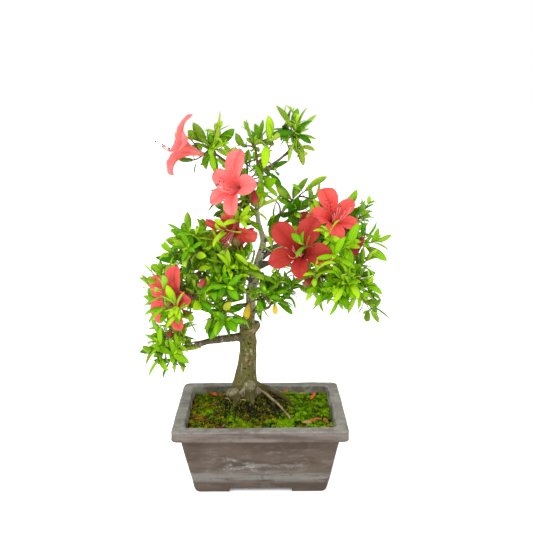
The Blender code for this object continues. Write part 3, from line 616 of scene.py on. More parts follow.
@dataclass(frozen=True)
class PetalTint:
    """Petal skin: colour from throat to lip, fine veins along it, dark flecks on one petal."""

    name: str
    throat: Colour
    body: Colour
    lip: Colour
    fleck: Colour

    def material(self) -> Material:
        """Builds it: pattern u counts petals round the bloom, v runs from tube to lip.

        Returns:
            The material.
        """
        finish = Finish(self.name, 0.5, self.throat)
        turn, along = finish.axis("X", finish.pattern), finish.axis("Y", finish.pattern)
        across = finish.off_middle(turn)
        finish.coat(self.body, 1.0, finish.ease(along, 0.12, 0.52))
        finish.coat(self.lip, 1.0, finish.ease(along, 0.6, 1.0))
        fan = finish.maths("SINE", finish.times(turn, 95.0))
        veins = finish.times(finish.ease(fan, 0.55, 1.0), 0.16)
        finish.coat(self.fleck, 1.0,
            finish.maths("MULTIPLY_ADD", finish.ease(across, 0.06, 0.0), 0.3, veins))
        finish.coat(self.throat, 0.22, finish.mottle(90.0, 0.42, 0.62))
        finish.coat(self.fleck, 0.75, finish.band(along, 0.28, 0.42, 0.7, 0.85),
            finish.ease(across, 0.34, 0.2), finish.ease(turn, 1.02, 0.98), finish.specks(520.0, 0.72))
        return finish.done(finish.maths("MULTIPLY_ADD", fan, 0.5, finish.grain(160.0, 900.0, 0.3)),
            0.0004, 0.5)


@dataclass(frozen=True)
class PlainTint:
    """A matt or waxy small piece: one colour clouded with another, and a gritty skin."""

    name: str
    body: Colour
    other: Colour
    roughness: float = 0.7
    scale: float = 120.0
    depth: float = 0.0003

    def material(self) -> Material:
        """Builds it.

        Returns:
            The material.
        """
        finish = Finish(self.name, self.roughness, self.body)
        finish.coat(self.other, 1.0, finish.mottle(self.scale, 0.4, 0.62))
        return finish.done(finish.grain(self.scale * 2.0, self.scale * 9.0, 0.4), self.depth)


@dataclass(frozen=True)
class BarkTint:
    """Old azalea bark: olive-grey, mottled, with lichen green, pale scars and dark pores."""

    name: str = "bark"
    body: Colour = (0.16, 0.128, 0.05)
    dark: Colour = (0.036, 0.026, 0.01)
    pale: Colour = (0.35, 0.31, 0.19)
    green: Colour = (0.12, 0.12, 0.026)
    upper: Colour = (0.7, 0.665, 0.47)
    upper_from: float = 0.2
    soiled: float = 1.0
    soil: Colour = (0.075, 0.064, 0.024)
    moss: Colour = (0.06, 0.06, 0.012)

    def material(self) -> Material:
        """Builds it: paler and greyer on the younger wood high up, soiled and mossy at the foot.

        Returns:
            The material.
        """
        finish = Finish(self.name, 0.82, self.body)
        tall = finish.stretched((1.0, 1.0, 0.45))
        height = finish.axis("Z")
        finish.coat(self.green, 1.0, finish.mottle(85.0, 0.38, 0.66, tall))
        finish.coat(self.pale, 1.0, finish.mottle(210.0, 0.55, 0.7, tall))
        finish.coat(self.upper, 0.85, finish.ease(height, self.upper_from, self.upper_from + 0.03))
        finish.coat(self.dark, 0.55, finish.mottle(260.0, 0.56, 0.7))
        finish.coat(self.dark, 1.0, finish.specks(260.0, 0.52))
        finish.coat(self.soil, self.soiled, finish.ease(height, 0.114, 0.104),
            finish.mottle(90.0, 0.34, 0.5))
        finish.coat(self.moss, 0.8, finish.ease(height, 0.0975, 0.09))
        finish.worn(finish.mottle(110.0, 0.4, 0.6), 0.12, 0.76)
        return finish.done(finish.grain(170.0, 620.0, 0.55, tall), 0.0011, 0.9)


@dataclass(frozen=True)
class ClayTint:
    """Unglazed stoneware: grey-brown, wiped in level streaks, bloomed with pale salts low down."""

    name: str = "unglazed_clay"
    body: Colour = (0.106, 0.079, 0.061)
    dark: Colour = (0.072, 0.052, 0.039)
    pale: Colour = (0.225, 0.222, 0.205)
    crust: Colour = (0.36, 0.36, 0.335)
    rim: Colour = (0.19, 0.166, 0.148)
    # paler colour of the rim's top face: painted light from above
    top: Colour = (0.3, 0.288, 0.262)
    # pale patches inside the pot: partly the clay's own lime deposits, partly painted light on the shaded
    # inner walls
    lime: Colour = (0.33, 0.33, 0.26)
    rim_height: float = 0.0732
    top_height: float = 0.086
    inner: tuple[float, float] = (0.0875, 0.0615)

    def material(self) -> Material:
        """Builds it: streaks run level round the pot, the bloom lies in a ragged band.

        Returns:
            The material.
        """
        finish = Finish(self.name, 0.8, self.body)
        level = finish.stretched((0.5, 0.5, 1.4))
        flat = finish.stretched((0.3, 0.3, 3.2))
        across, deep, height = (finish.axis(letter) for letter in "XYZ")
        finish.coat(self.dark, 1.0, finish.mottle(38.0, 0.35, 0.68, level))
        finish.coat(self.rim, 0.38, finish.mottle(95.0, 0.5, 0.72, level))
        finish.coat(self.pale, 0.62, finish.band(height, 0.011, 0.018, 0.023, 0.033),
            finish.mottle(52.0, 0.34, 0.56, flat))
        near = finish.ease(finish.maths("ABSOLUTE", finish.maths("ADD", across, 0.006)), 0.07, 0.03)
        smear = finish.times(finish.band(height, 0.022, 0.032, 0.045, 0.062), near,
            finish.mottle(80.0, 0.5, 0.66, level))
        finish.coat(self.pale, 0.6, smear)
        finish.coat(self.crust, 0.45, smear, finish.mottle(260.0, 0.5, 0.62))
        wiped = finish.maths("MULTIPLY_ADD", finish.mottle(44.0, 0.36, 0.64, flat), 0.75, 0.15)
        finish.coat(self.rim, 1.0, wiped, finish.ease(height, self.rim_height, self.rim_height + 0.002))
        # The rim's top face is painted paler in patches: painted light on the face that looks up.
        painted_top_light = finish.maths("MULTIPLY_ADD", finish.mottle(70.0, 0.36, 0.64), 0.55, 0.35)
        finish.coat(self.top, 1.0, painted_top_light,
            finish.ease(height, self.top_height - 0.0022, self.top_height - 0.0004))
        # Pale patches on the inner walls above the moss: partly lime deposits, partly painted light that
        # lifts the shade inside the pot.
        inside = [finish.ease(finish.maths("ABSOLUTE", place), limit + 0.001, limit)
            for place, limit in zip((across, deep), self.inner)]
        finish.coat(self.lime, 0.85, *inside, finish.ease(height, 0.07, 0.076),
            finish.mottle(75.0, 0.4, 0.6))
        finish.coat(self.dark, 0.35, finish.mottle(210.0, 0.56, 0.7))
        finish.coat(self.dark, 0.55, finish.ease(height, 0.009, 0.002))
        finish.worn(finish.mottle(60.0, 0.4, 0.6), 0.14, 0.72)
        grit = finish.grain(110.0, 700.0, 0.45)
        return finish.done(finish.maths("MULTIPLY_ADD", finish.noise(flat, 130.0), 0.8, grit), 0.0009, 0.8)


# ---- pot


def welded(shape: Shape) -> Shape:
    """The same shape with points that lie on one another made one.

    Args:
        shape: a shape with doubled points.

    Returns:
        The welded shape.
    """
    _, first, index = np.unique(np.round(shape.points * 2e6).astype(np.int64), axis=0,
        return_index=True, return_inverse=True)
    index = index.reshape(-1)
    return Shape(shape.points[first], index[shape.quads], index[shape.tris],
        shape.quad_places, shape.tri_places)


def plan_lines(cuts: tuple[float, ...], cells: int, corner_cells: int) -> Array:
    """Grid lines from minus two to two, even but for extra ones at given cuts.

    Args:
        cuts: extra lines, made on both sides.
        cells: cells on the straight part.
        corner_cells: cells in each corner.

    Returns:
        The lines in order.
    """
    straight = np.concatenate((np.linspace(-1.0, 1.0, cells + 1), cuts, -np.array(cuts)))
    bend = 1.0 + np.arange(1, corner_cells + 1) / corner_cells
    return np.unique(np.concatenate((straight, bend, -bend)).round(6))


@dataclass(frozen=True)
class Pot:
    """A tapered rectangular box of thick clay with a proud flat rim and four corner feet."""

    width: float = 0.2
    depth: float = 0.148
    height: float = 0.086
    corner: float = 0.007
    wall_top_inset: float = 0.0085
    base_inset: float = 0.0227
    rim_height: float = 0.0128
    rim_width: float = 0.0132
    rounding: float = 0.0019
    foot_height: float = 0.0046
    notch_width: float = 0.073
    notch_depth: float = 0.04
    floor_top: float = 0.0125
    wall: float = 0.0068
    unevenness: float = 0.00045
    drain_radius: float = 0.008
    drain_offset: float = 0.036
    drain_sides: int = 48

    def plan(self, across: Array, deep: Array, inset: float) -> tuple[Array, Array]:
        """A rounded rectangle laid out as a square from minus two to two each way.

        Up to one is the straight part, and from one to two a corner square squeezed to a quarter
        disc: x = u sqrt(1 - v v / 2), y = v sqrt(1 - u u / 2).

        Args:
            across: place along the width, minus two to two.
            deep: place along the depth, minus two to two.
            inset: how far inside the rim's edge it lies.

        Returns:
            x and y in metres.
        """
        u = np.clip(np.abs(across) - 1.0, 0.0, 1.0)
        v = np.clip(np.abs(deep) - 1.0, 0.0, 1.0)
        straight_x = self.width / 2 - inset - self.corner
        straight_y = self.depth / 2 - inset - self.corner
        x = np.minimum(np.abs(across), 1.0) * straight_x + self.corner * u * np.sqrt(1 - v * v / 2)
        y = np.minimum(np.abs(deep), 1.0) * straight_y + self.corner * v * np.sqrt(1 - u * u / 2)
        return np.sign(across) * x, np.sign(deep) * y

    def wall_inset(self, height: Array) -> Array:
        """Inset of the outer wall from the rim's edge at a height."""
        share = height / (self.height - self.rim_height)
        return self.base_inset + (self.wall_top_inset - self.base_inset) * share

    def bed_inset(self, height: Array) -> Array:
        """Inset of the inner wall at a height.

        Args:
            height: height over the pot's underside.

        Returns:
            The inset from the rim's edge.
        """
        under = self.height - self.rim_height
        share = np.clip((height - under) / self.rim_height, 0.0, 1.0)
        low = self.wall_inset(np.minimum(height, under)) + self.wall
        return (1 - share) * low + share * self.rim_width

    def lines(self) -> tuple[Array, Array]:
        """Grid lines across and deep, with one either side of each edge of the foot notches.

        Returns:
            Lines across and lines deep.
        """
        straight_x = self.width / 2 - self.base_inset - self.corner
        straight_y = self.depth / 2 - self.base_inset - self.corner
        cut_x, cut_y = self.notch_width / 2, self.notch_depth / 2
        return (plan_lines(((cut_x - 5e-4) / straight_x, cut_x / straight_x), 64, 8),
            plan_lines(((cut_y - 5e-4) / straight_y, cut_y / straight_y), 44, 8))

    def sole(self, x: Array, y: Array) -> Array:
        """Height of the underside: feet at the corners and a raised cross between them."""
        raised = (np.abs(x) < self.notch_width / 2 - 1e-4) | (np.abs(y) < self.notch_depth / 2 - 1e-4)
        return np.where(raised, self.foot_height, 0.0)

    def profile(self) -> list[tuple[float, float, bool]]:
        """Inset, height and whether it follows the feet, for each ring from sole to hollow.

        Returns:
            One row for each ring.
        """
        under = self.height - self.rim_height
        arc = np.radians(np.linspace(0, 90, 5))
        r = self.rounding
        bend = list(zip(r * (1 - np.sin(arc)), r * (1 - np.cos(arc))))
        rings = [(self.wall_inset(0.0) + a, b, True) for a, b in bend]
        rings += [(float(self.wall_inset(z)), z, True) for z in np.linspace(r, under - 0.0012, 34)[1:]]
        rings += [(self.wall_top_inset - 0.0003, under - 0.0004, False),
            (self.wall_top_inset - 0.0011, under, False)]
        rings += [(a, under + b, False) for a, b in bend]
        rings += [(0.0002, z, False) for z in np.linspace(under + r, self.height - r, 7)[1:-1]]
        rings += [(b, self.height - a, False) for a, b in bend]
        rings += [(inset, self.height, False) for inset in np.linspace(r, self.rim_width - r, 7)[1:-1]]
        rings += [(self.rim_width - a, self.height - b, False) for a, b in bend]
        rings += [(float(self.bed_inset(z)), z, False)
            for z in (*np.linspace(self.height - r, under, 8)[1:], 0.05, self.floor_top)]
        return rings

    def build(self) -> Object:
        """Builds the pot: one loft from the sole round the rim into the hollow, closed both ends.

        Returns:
            The pot.
        """
        across, deep = self.lines()
        edge = border(np.stack(np.meshgrid(across, deep), axis=-1))
        rings = []
        for inset, height, follows in self.profile():
            x, y = self.plan(edge[:, 0], edge[:, 1], inset)
            lift = self.sole(x, y) * max(1.0 - height / 0.02, 0.0) if follows else 0.0
            rings.append(np.stack((x, y, height + lift + np.zeros(len(x))), axis=1))
        wall = np.array(rings)
        shapes = [grids(wall[None], caps=False)]
        for inset, lines, floor in ((self.base_inset + self.rounding, across[::-1], None),
                (float(self.bed_inset(self.floor_top)), across, self.floor_top)):
            u, v = np.meshgrid(lines, deep)
            x, y = self.plan(u, v, inset)
            z = self.sole(x, y) if floor is None else np.full(x.shape, floor)
            shapes.append(grids(np.stack((x, y, z), axis=-1)[None], ring=False, caps=False))
        shape = welded(joined(shapes))
        above = smooth_step(shape.points[:, 2], self.foot_height, self.foot_height + 0.01)[:, None]
        lumps = np.stack([rough_noise(shape.points, 0.034, 31 + axis, 2) for axis in range(3)], axis=1)
        dents = np.stack([lattice_noise(shape.points, 0.007, 41 + axis) for axis in range(3)], axis=1)
        shape.points += above * (lumps * self.unevenness + dents * self.unevenness * 0.22)
        item = piece("pot_clay", [shape], ClayTint().material(), "unglazed_clay", "pot")
        self.drill(item)
        item.data.set_sharp_from_angle(angle=math.radians(42))
        return item

    def drill(self, item: Object) -> None:
        """Cuts two round drain holes through the floor and keeps the cut mesh.

        Args:
            item: the pot.
        """
        ends = np.array(((self.drain_offset, 0.0, -0.002),
            (self.drain_offset, 0.0, self.floor_top + 0.003)))
        paths = np.stack((ends, ends * (-1.0, 1.0, 1.0)))
        rods = tube_points(paths, np.full((2, 2), self.drain_radius), self.drain_sides)
        cutter = mesh_object("drain_cutter", grids(rods), item.data.materials[0])
        cut = item.modifiers.new("drains", "BOOLEAN")
        cut.object = cutter
        graph = bpy.context.evaluated_depsgraph_get()
        item.data = bpy.data.meshes.new_from_object(item.evaluated_get(graph))
        item.modifiers.clear()
        bpy.data.objects.remove(cutter)


# ---- moss


@dataclass(frozen=True)
class SoilTint:
    """Wet soil with thin moss on it: black-brown, olive and dull green by patches, with pale grit."""

    name: str = "moss"
    green: Colour = (0.01, 0.026, 0.001)
    olive: Colour = (0.024, 0.022, 0.002)
    soil: Colour = (0.006, 0.005, 0.002)
    grit: Colour = (0.08, 0.062, 0.03)

    def material(self) -> Material:
        """Builds it: barer toward the top of the mound.

        Returns:
            The material.
        """
        finish = Finish(self.name, 0.95, self.green)
        finish.coat(self.olive, 1.0, finish.mottle(60.0, 0.4, 0.62))
        finish.coat(self.soil, 1.0, finish.mottle(140.0, 0.46, 0.6))
        finish.coat(self.soil, 0.85, finish.ease(finish.axis("Z"), 0.0835, 0.088))
        finish.coat(self.grit, 1.0, finish.specks(520.0, 0.66))
        return finish.done(finish.grain(420.0, 1500.0, 0.6), 0.0012)


class MossKind(Enum):
    """How each kind of moss looks: colour, its clouding, and how long its shoots are in metres."""

    BRIGHT = ((0.33, 0.56, 0.001), (0.17, 0.38, 0.001), 0.0032)
    FRESH = ((0.15, 0.33, 0.001), (0.085, 0.21, 0.001), 0.0028)
    DEEP = ((0.03, 0.075, 0.001), (0.012, 0.028, 0.001), 0.0022)
    OLIVE = ((0.4, 0.35, 0.005), (0.2, 0.17, 0.003), 0.0024)
    BROWN = ((0.32, 0.15, 0.018), (0.11, 0.052, 0.008), 0.002)


@dataclass(frozen=True)
class MossBed:
    """Soil that fills the pot and mounds up under the trunk, cushioned with moss.

    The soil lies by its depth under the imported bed's top, which the shoots' tips reach.
    """

    pot: Pot
    edge_height: float = 0.0785
    seat: tuple[float, float] = (-0.018, 0.014)
    seat_height: float = 0.0955
    seat_radius: float = 0.023
    spread: float = 0.013
    tail: float = 0.016
    wave: float = 0.0007
    soil_depth: float = 0.0034
    cushions: int = 1100
    cushion_rise: float = 0.0026
    tufts: int = 16500
    spikes: int = 4
    tuft_spread: float = 0.0004
    shoot_lean: float = 0.42
    shoot_widths: tuple[float, float] = (0.0003, 0.00052)
    bare_foot: float = 0.0145
    bottom: float = 0.06
    taper: float = 0.97

    def mound(self, x: Array, y: Array) -> Array:
        """Height of the bed without its cushions: level seat, mound, low waves.

        Args:
            x: places across.
            y: places deep.

        Returns:
            The heights.
        """
        off_x, off_y = x - self.seat[0], y - self.seat[1]
        distance = np.hypot(off_x, off_y)
        outside = np.maximum(distance - self.seat_radius, 0.0)
        spread = self.spread + self.tail * np.maximum(off_x / np.maximum(distance, 1e-6), 0.0)
        rise = (self.seat_height - self.edge_height) * np.exp(-(outside / spread) ** 2)
        waves = self.wave * np.sin(x * 95.0 + 1.0) * np.sin(y * 120.0)
        return self.edge_height + rise + waves * np.minimum(outside / self.spread, 1.0)

    def hollow(self, x: Array, y: Array) -> Array:
        """How much of the washed-out hollow under the arching root is at a place, zero to one.

        Args:
            x: places across.
            y: places deep.

        Returns:
            The shares.
        """
        outside = np.maximum(np.hypot(x - self.seat[0], y - self.seat[1]) - self.seat_radius, 0.0)
        bell = np.exp(-((x - 0.021) / 0.014) ** 2 - ((y + 0.003) / 0.013) ** 2)
        return bell * np.minimum(outside / self.spread, 1.0)

    def domes(self, x: Array, y: Array) -> Array:
        """Rise of the cushions: each one a flat dome, of which the highest at a place shows.

        Args:
            x: places across.
            y: places deep.

        Returns:
            The rises.
        """
        rng = default_rng(71)
        middles = rng.uniform((-0.088, -0.062), (0.088, 0.062), (self.cushions, 2))
        sizes = rng.uniform(0.0022, 0.0062, self.cushions)
        rises = self.cushion_rise * rng.uniform(0.25, 1.15, self.cushions)
        flat = np.stack((x.ravel(), y.ravel()), axis=1)
        parts = []
        for chunk in np.array_split(flat, 1 + len(flat) // 6000):
            away = norm(chunk[:, None] - middles, axis=2) / sizes
            parts.append((rises * np.sqrt(np.maximum(1.0 - away ** 2, 0.0))).max(axis=1))
        return np.concatenate(parts).reshape(x.shape)

    def top(self, x: Array, y: Array) -> Array:
        """Height of the bed with its cushions and the hollow, lower where it meets the pot.

        Args:
            x: places across.
            y: places deep.

        Returns:
            The heights.
        """
        places = np.stack((x, y, np.zeros(x.shape)), axis=-1)
        height = self.mound(x, y) + self.domes(x, y) + 0.0005 * rough_noise(places, 0.003, 51, 2)
        height -= self.soil_depth + 0.007 * self.hollow(x, y)
        inset = self.pot.bed_inset(self.edge_height)
        edge = np.minimum(self.pot.width / 2 - inset - np.abs(x), self.pot.depth / 2 - inset - np.abs(y))
        return height - 0.0022 * np.exp(-np.maximum(edge, 0.0) / 0.002)

    def kinds(self, x: Array, y: Array, rng: Generator) -> Array:
        """Which kind of moss grows at each place, minus one where the soil is bare.

        Args:
            x: places across.
            y: places deep.
            rng: source of random draws.

        Returns:
            Numbers of kinds.
        """
        places = np.stack((x, y, np.zeros(len(x))), axis=1)
        cloud = rough_noise(places, 0.017, 61, 3) + rng.normal(0.0, 0.24, len(x))
        # Moss on the cushions' tops takes brighter kinds and moss in the gaps between cushions deeper kinds:
        # painted light and shade.
        painted_cushion_shade = self.domes(x, y) / self.cushion_rise - 0.62
        cloud += 1.5 * painted_cushion_shade + 0.9 * lattice_noise(places, 0.0034, 63)
        bright = cloud + 0.7 * smooth_step(x, 0.0, 0.06) - 0.35 * smooth_step(-x, 0.01, 0.06)
        bright += 0.35 * smooth_step(-y, 0.02, 0.05) * smooth_step(x, -0.05, 0.0)
        kind = np.select((bright > 0.8, bright > 0.1, bright > -0.6, bright > -1.1), (0, 1, 2, 3), 4)
        spots = lattice_noise(places, 0.009, 67) + rng.normal(0.0, 0.15, len(x))
        kind = np.where((spots > 0.42) & (x < 0.02), 3, kind)
        kind = np.where((spots < -0.55) & (x < -0.005), 4, kind)
        rise = self.mound(x, y) - self.edge_height
        mound = (rise > 0.0035) & (rng.random(len(x)) < 0.72)
        kind = np.where(mound, np.where(rng.random(len(x)) < 0.5, 2, 3), kind)
        bare = (rise > 0.0065) & (rng.random(len(x)) < 0.5) | (self.hollow(x, y) > rng.random(len(x)) * 0.9)
        sparse = lattice_noise(places, 0.006, 69) > 0.62
        return np.where(bare | sparse, -1, kind)

    def build_bed(self) -> Object:
        """Builds the soil: a fine relief on top, walls down into the pot and a flat bottom.

        Returns:
            The soil.
        """
        lines_x, lines_y = plan_lines((), 170, 6), plan_lines((), 120, 6)
        u, v = np.meshgrid(lines_x, lines_y)
        inset = self.pot.bed_inset(self.edge_height) + 0.0003
        x, y = self.pot.plan(u, v, inset)
        top = np.stack((x, y, self.top(x, y)), axis=-1)
        rim = border(top)
        shrink, lift = np.array((self.taper, self.taper, 0.0)), np.array((0.0, 0.0, self.bottom))
        skirt = rim * shrink + lift
        wall = grids(np.stack((skirt, rim))[None], caps=False)
        base = top * shrink + lift
        shape = welded(joined([grids(top[None], ring=False, caps=False), wall,
            grids(base[None, :, ::-1], ring=False, caps=False)]))
        return piece("moss_soil", [shape], SoilTint().material(), "moss", "moss_bed")

    def build_tufts(self) -> None:
        """Builds the moss shoots: tufts of a few narrow three-sided cones that lean apart."""
        rng = default_rng(72)
        inset = self.pot.bed_inset(self.edge_height) + 0.0014
        reach = np.array((self.pot.width / 2 - inset, self.pot.depth / 2 - inset))
        feet = rng.uniform(-reach, reach, (self.tufts, 2))
        kind = self.kinds(feet[:, 0], feet[:, 1], rng)
        foot_of_trunk = np.hypot(feet[:, 0] - self.seat[0], feet[:, 1] - self.seat[1]) < self.bare_foot
        for number, look in enumerate(MossKind):
            chosen = feet[(kind == number) & ~foot_of_trunk]
            places = (np.repeat(chosen, self.spikes, axis=0)
                + rng.normal(0, self.tuft_spread, (len(chosen) * self.spikes, 2)))
            places = np.clip(places, -reach, reach)
            height = self.top(places[:, 0], places[:, 1])
            base = np.column_stack((places, height - 0.0008))
            lean = rng.normal(0, self.shoot_lean, (len(base), 2))
            heading = unit(np.column_stack((lean, np.ones(len(base)))))
            length = look.value[2] * rng.uniform(0.55, 1.25, len(base))
            width = rng.uniform(*self.shoot_widths, len(base))
            angles = rng.uniform(0, TAU, len(base))[:, None] + np.arange(3) * TAU / 3
            helper = unit(np.cross(heading, (1.0, 0.2, 0.1)))
            other = np.cross(heading, helper)
            spokes = np.cos(angles)[..., None] * helper[:, None] + np.sin(angles)[..., None] * other[:, None]
            ring = base[:, None] + width[:, None, None] * spokes
            tip = base + heading * length[:, None]
            points = np.concatenate((ring, tip[:, None]), axis=1)
            faces = np.array(((0, 1, 3), (1, 2, 3), (2, 0, 3), (2, 1, 0)))
            faces = (faces + 4 * np.arange(len(base))[:, None, None]).reshape(-1, 3)
            places_on = np.broadcast_to(np.array(((0, 0), (1, 0), (0.5, 1.0))), (len(faces), 3, 2))
            shape = Shape(points.reshape(-1, 3), np.zeros((0, 4), int), faces,
                np.zeros((0, 4, 2)), places_on)
            tint = PlainTint(f"moss_{look.name.lower()}", look.value[0], look.value[1], 1.0, 160.0, 0.0001)
            piece(f"moss_shoots_{look.name.lower()}", [shape], tint.material(), "moss")


# ---- plan of the plant


@dataclass(frozen=True)
class Limb:
    """A bough: leaves the trunk at a height, then bends through points to its tip."""

    name: str
    height: float
    bends: tuple[Point, ...]
    radii: tuple[float, float]


class Petals(Enum):
    """The petal colours of the plant."""

    SALMON = PetalTint("petal_salmon", (0.88, 0.26, 0.23), (0.86, 0.128, 0.12),
        (0.9, 0.175, 0.165), (0.6, 0.03, 0.04))
    CORAL = PetalTint("petal_coral", (0.76, 0.12, 0.095), (0.7, 0.068, 0.055),
        (0.74, 0.095, 0.08), (0.38, 0.01, 0.018))
    SCARLET = PetalTint("petal_scarlet", (0.74, 0.2, 0.17), (0.58, 0.046, 0.032),
        (0.64, 0.062, 0.045), (0.3, 0.008, 0.012))
    CRIMSON = PetalTint("petal_crimson", (0.5, 0.075, 0.055), (0.345, 0.022, 0.014),
        (0.4, 0.034, 0.024), (0.22, 0.005, 0.008))


@dataclass(frozen=True)
class Bloom:
    """An open flower: where its tube starts, which way it faces, its turn, size and colour.

    No leaf hangs before it within its clear circle: off its middle in x and z, and a radius. Its
    petals, from the upper one round, each have a share of the usual length and a further curl.
    """

    place: Point
    facing: Point
    turn: float = 0.0
    size: float = 1.0
    petals: Petals = Petals.CORAL
    clear: Point = (0.0, 0.0, 0.024)
    lengths: tuple[float, ...] = (1.05, 1.0, 0.95, 0.95, 1.0)
    curls: tuple[float, ...] = (0.1, 0.0, -0.15, -0.15, 0.0)

    @property
    def front(self) -> Array:
        """Its facing at length one."""
        return unit(np.array(self.facing))

    def ahead(self, distance: object) -> Array:
        """Points ahead of the tube's start along its facing."""
        return np.array(self.place) + np.multiply.outer(distance, self.front)

    def spokes(self, angles: Array) -> Array:
        """Unit spokes round the facing at angles from the upper petal's start.

        Args:
            angles: places round the bloom.

        Returns:
            The spokes, (n, 3).
        """
        first, second = side_axes(self.front)
        turned = angles + self.turn - math.pi / 5
        return np.cos(turned)[:, None] * second + np.sin(turned)[:, None] * first


@dataclass(frozen=True)
class Mass:
    """Foliage that keeps to one rounded space, grown from one limb.

    Its fullness thins the side shoots, and its veils are late shoots that come forward over blooms.
    """

    name: str
    limb: str
    centre: Point
    reach: Point
    tips: tuple[Point, ...]
    sprays: int
    seed: int
    blooms: tuple[Bloom, ...] = ()
    buds: tuple[Point, ...] = ()
    fullness: float = 1.0
    veils: tuple[Point, ...] = ()


REACH_X = 0.1465
REACH_Y = 0.1
CROWN_TOP = 0.4435
TRUNK_FOOT = 0.0958
TRUNK_BENDS = np.array(((-0.018, 0.014, TRUNK_FOOT, 0.015), (-0.0178, 0.0135, 0.106, 0.014),
    (-0.0174, 0.013, 0.1175, 0.0127), (-0.0162, 0.011, 0.134, 0.0113), (-0.0145, 0.008, 0.156, 0.0104),
    (-0.015, 0.005, 0.176, 0.0096), (-0.0135, 0.004, 0.185, 0.0114), (-0.014, 0.003, 0.193, 0.0078),
    (-0.0105, 0.001, 0.209, 0.0058), (-0.0096, 0.0, 0.229, 0.006), (-0.005, 0.001, 0.249, 0.0052),
    (0.0, 0.003, 0.269, 0.0044), (0.0045, 0.005, 0.288, 0.0034), (-0.001, 0.002, 0.311, 0.0027),
    (-0.0025, 0.0, 0.335, 0.0023), (0.003, -0.002, 0.366, 0.0018)))
TRUNK_RINGS = 27
BOUGHS = (
    Limb("bough_low_left", 0.172, ((-0.046, -0.006, 0.1725), (-0.066, -0.012, 0.1705),
        (-0.076, -0.014, 0.168)), (0.0043, 0.0027)),
    Limb("bough_left_inner", 0.212, ((-0.024, -0.01, 0.215), (-0.032, -0.015, 0.214)), (0.0018, 0.0014)),
    Limb("bough_left_front", 0.229, ((-0.032, -0.022, 0.235), (-0.054, -0.038, 0.237)), (0.0026, 0.0018)),
    Limb("bough_left_middle", 0.24, ((-0.018, -0.012, 0.25), (-0.026, -0.02, 0.256)), (0.0018, 0.0014)),
    Limb("bough_left_upper", 0.254, ((-0.028, -0.006, 0.268), (-0.044, -0.012, 0.276)), (0.0024, 0.0017)),
    Limb("bough_left_back", 0.246, ((-0.028, 0.026, 0.254), (-0.048, 0.042, 0.256)), (0.0026, 0.0018)),
    Limb("bough_lower_right", 0.202, ((0.0, -0.008, 0.2075), (0.008, -0.014, 0.212)), (0.0015, 0.0013)),
    Limb("bough_right_front", 0.26, ((0.012, -0.006, 0.264), (0.03, -0.016, 0.265), (0.05, -0.026, 0.261)),
        (0.003, 0.002)),
    Limb("bough_right_back", 0.268, ((0.024, 0.026, 0.276), (0.05, 0.042, 0.278)), (0.0026, 0.0018)),
    Limb("bough_right_upper", 0.275, ((0.028, 0.004, 0.285), (0.06, -0.002, 0.296)), (0.0024, 0.0016)),
    Limb("bough_middle", 0.287, ((0.018, 0.001, 0.295), (0.0225, -0.001, 0.302), (0.0215, -0.003, 0.309)),
        (0.0019, 0.0015)),
    Limb("bough_top_back", 0.333, ((-0.008, 0.014, 0.346), (-0.012, 0.022, 0.354)), (0.0017, 0.0014)),
    Limb("bough_top_left", 0.352, ((-0.02, -0.004, 0.368), (-0.034, -0.006, 0.378)), (0.0016, 0.0013)),
)
APEX_BOUGH = Limb("bough_apex", 0.366, ((0.014, 0.0, 0.375), (0.03, 0.0, 0.387)), (0.0017, 0.0013))
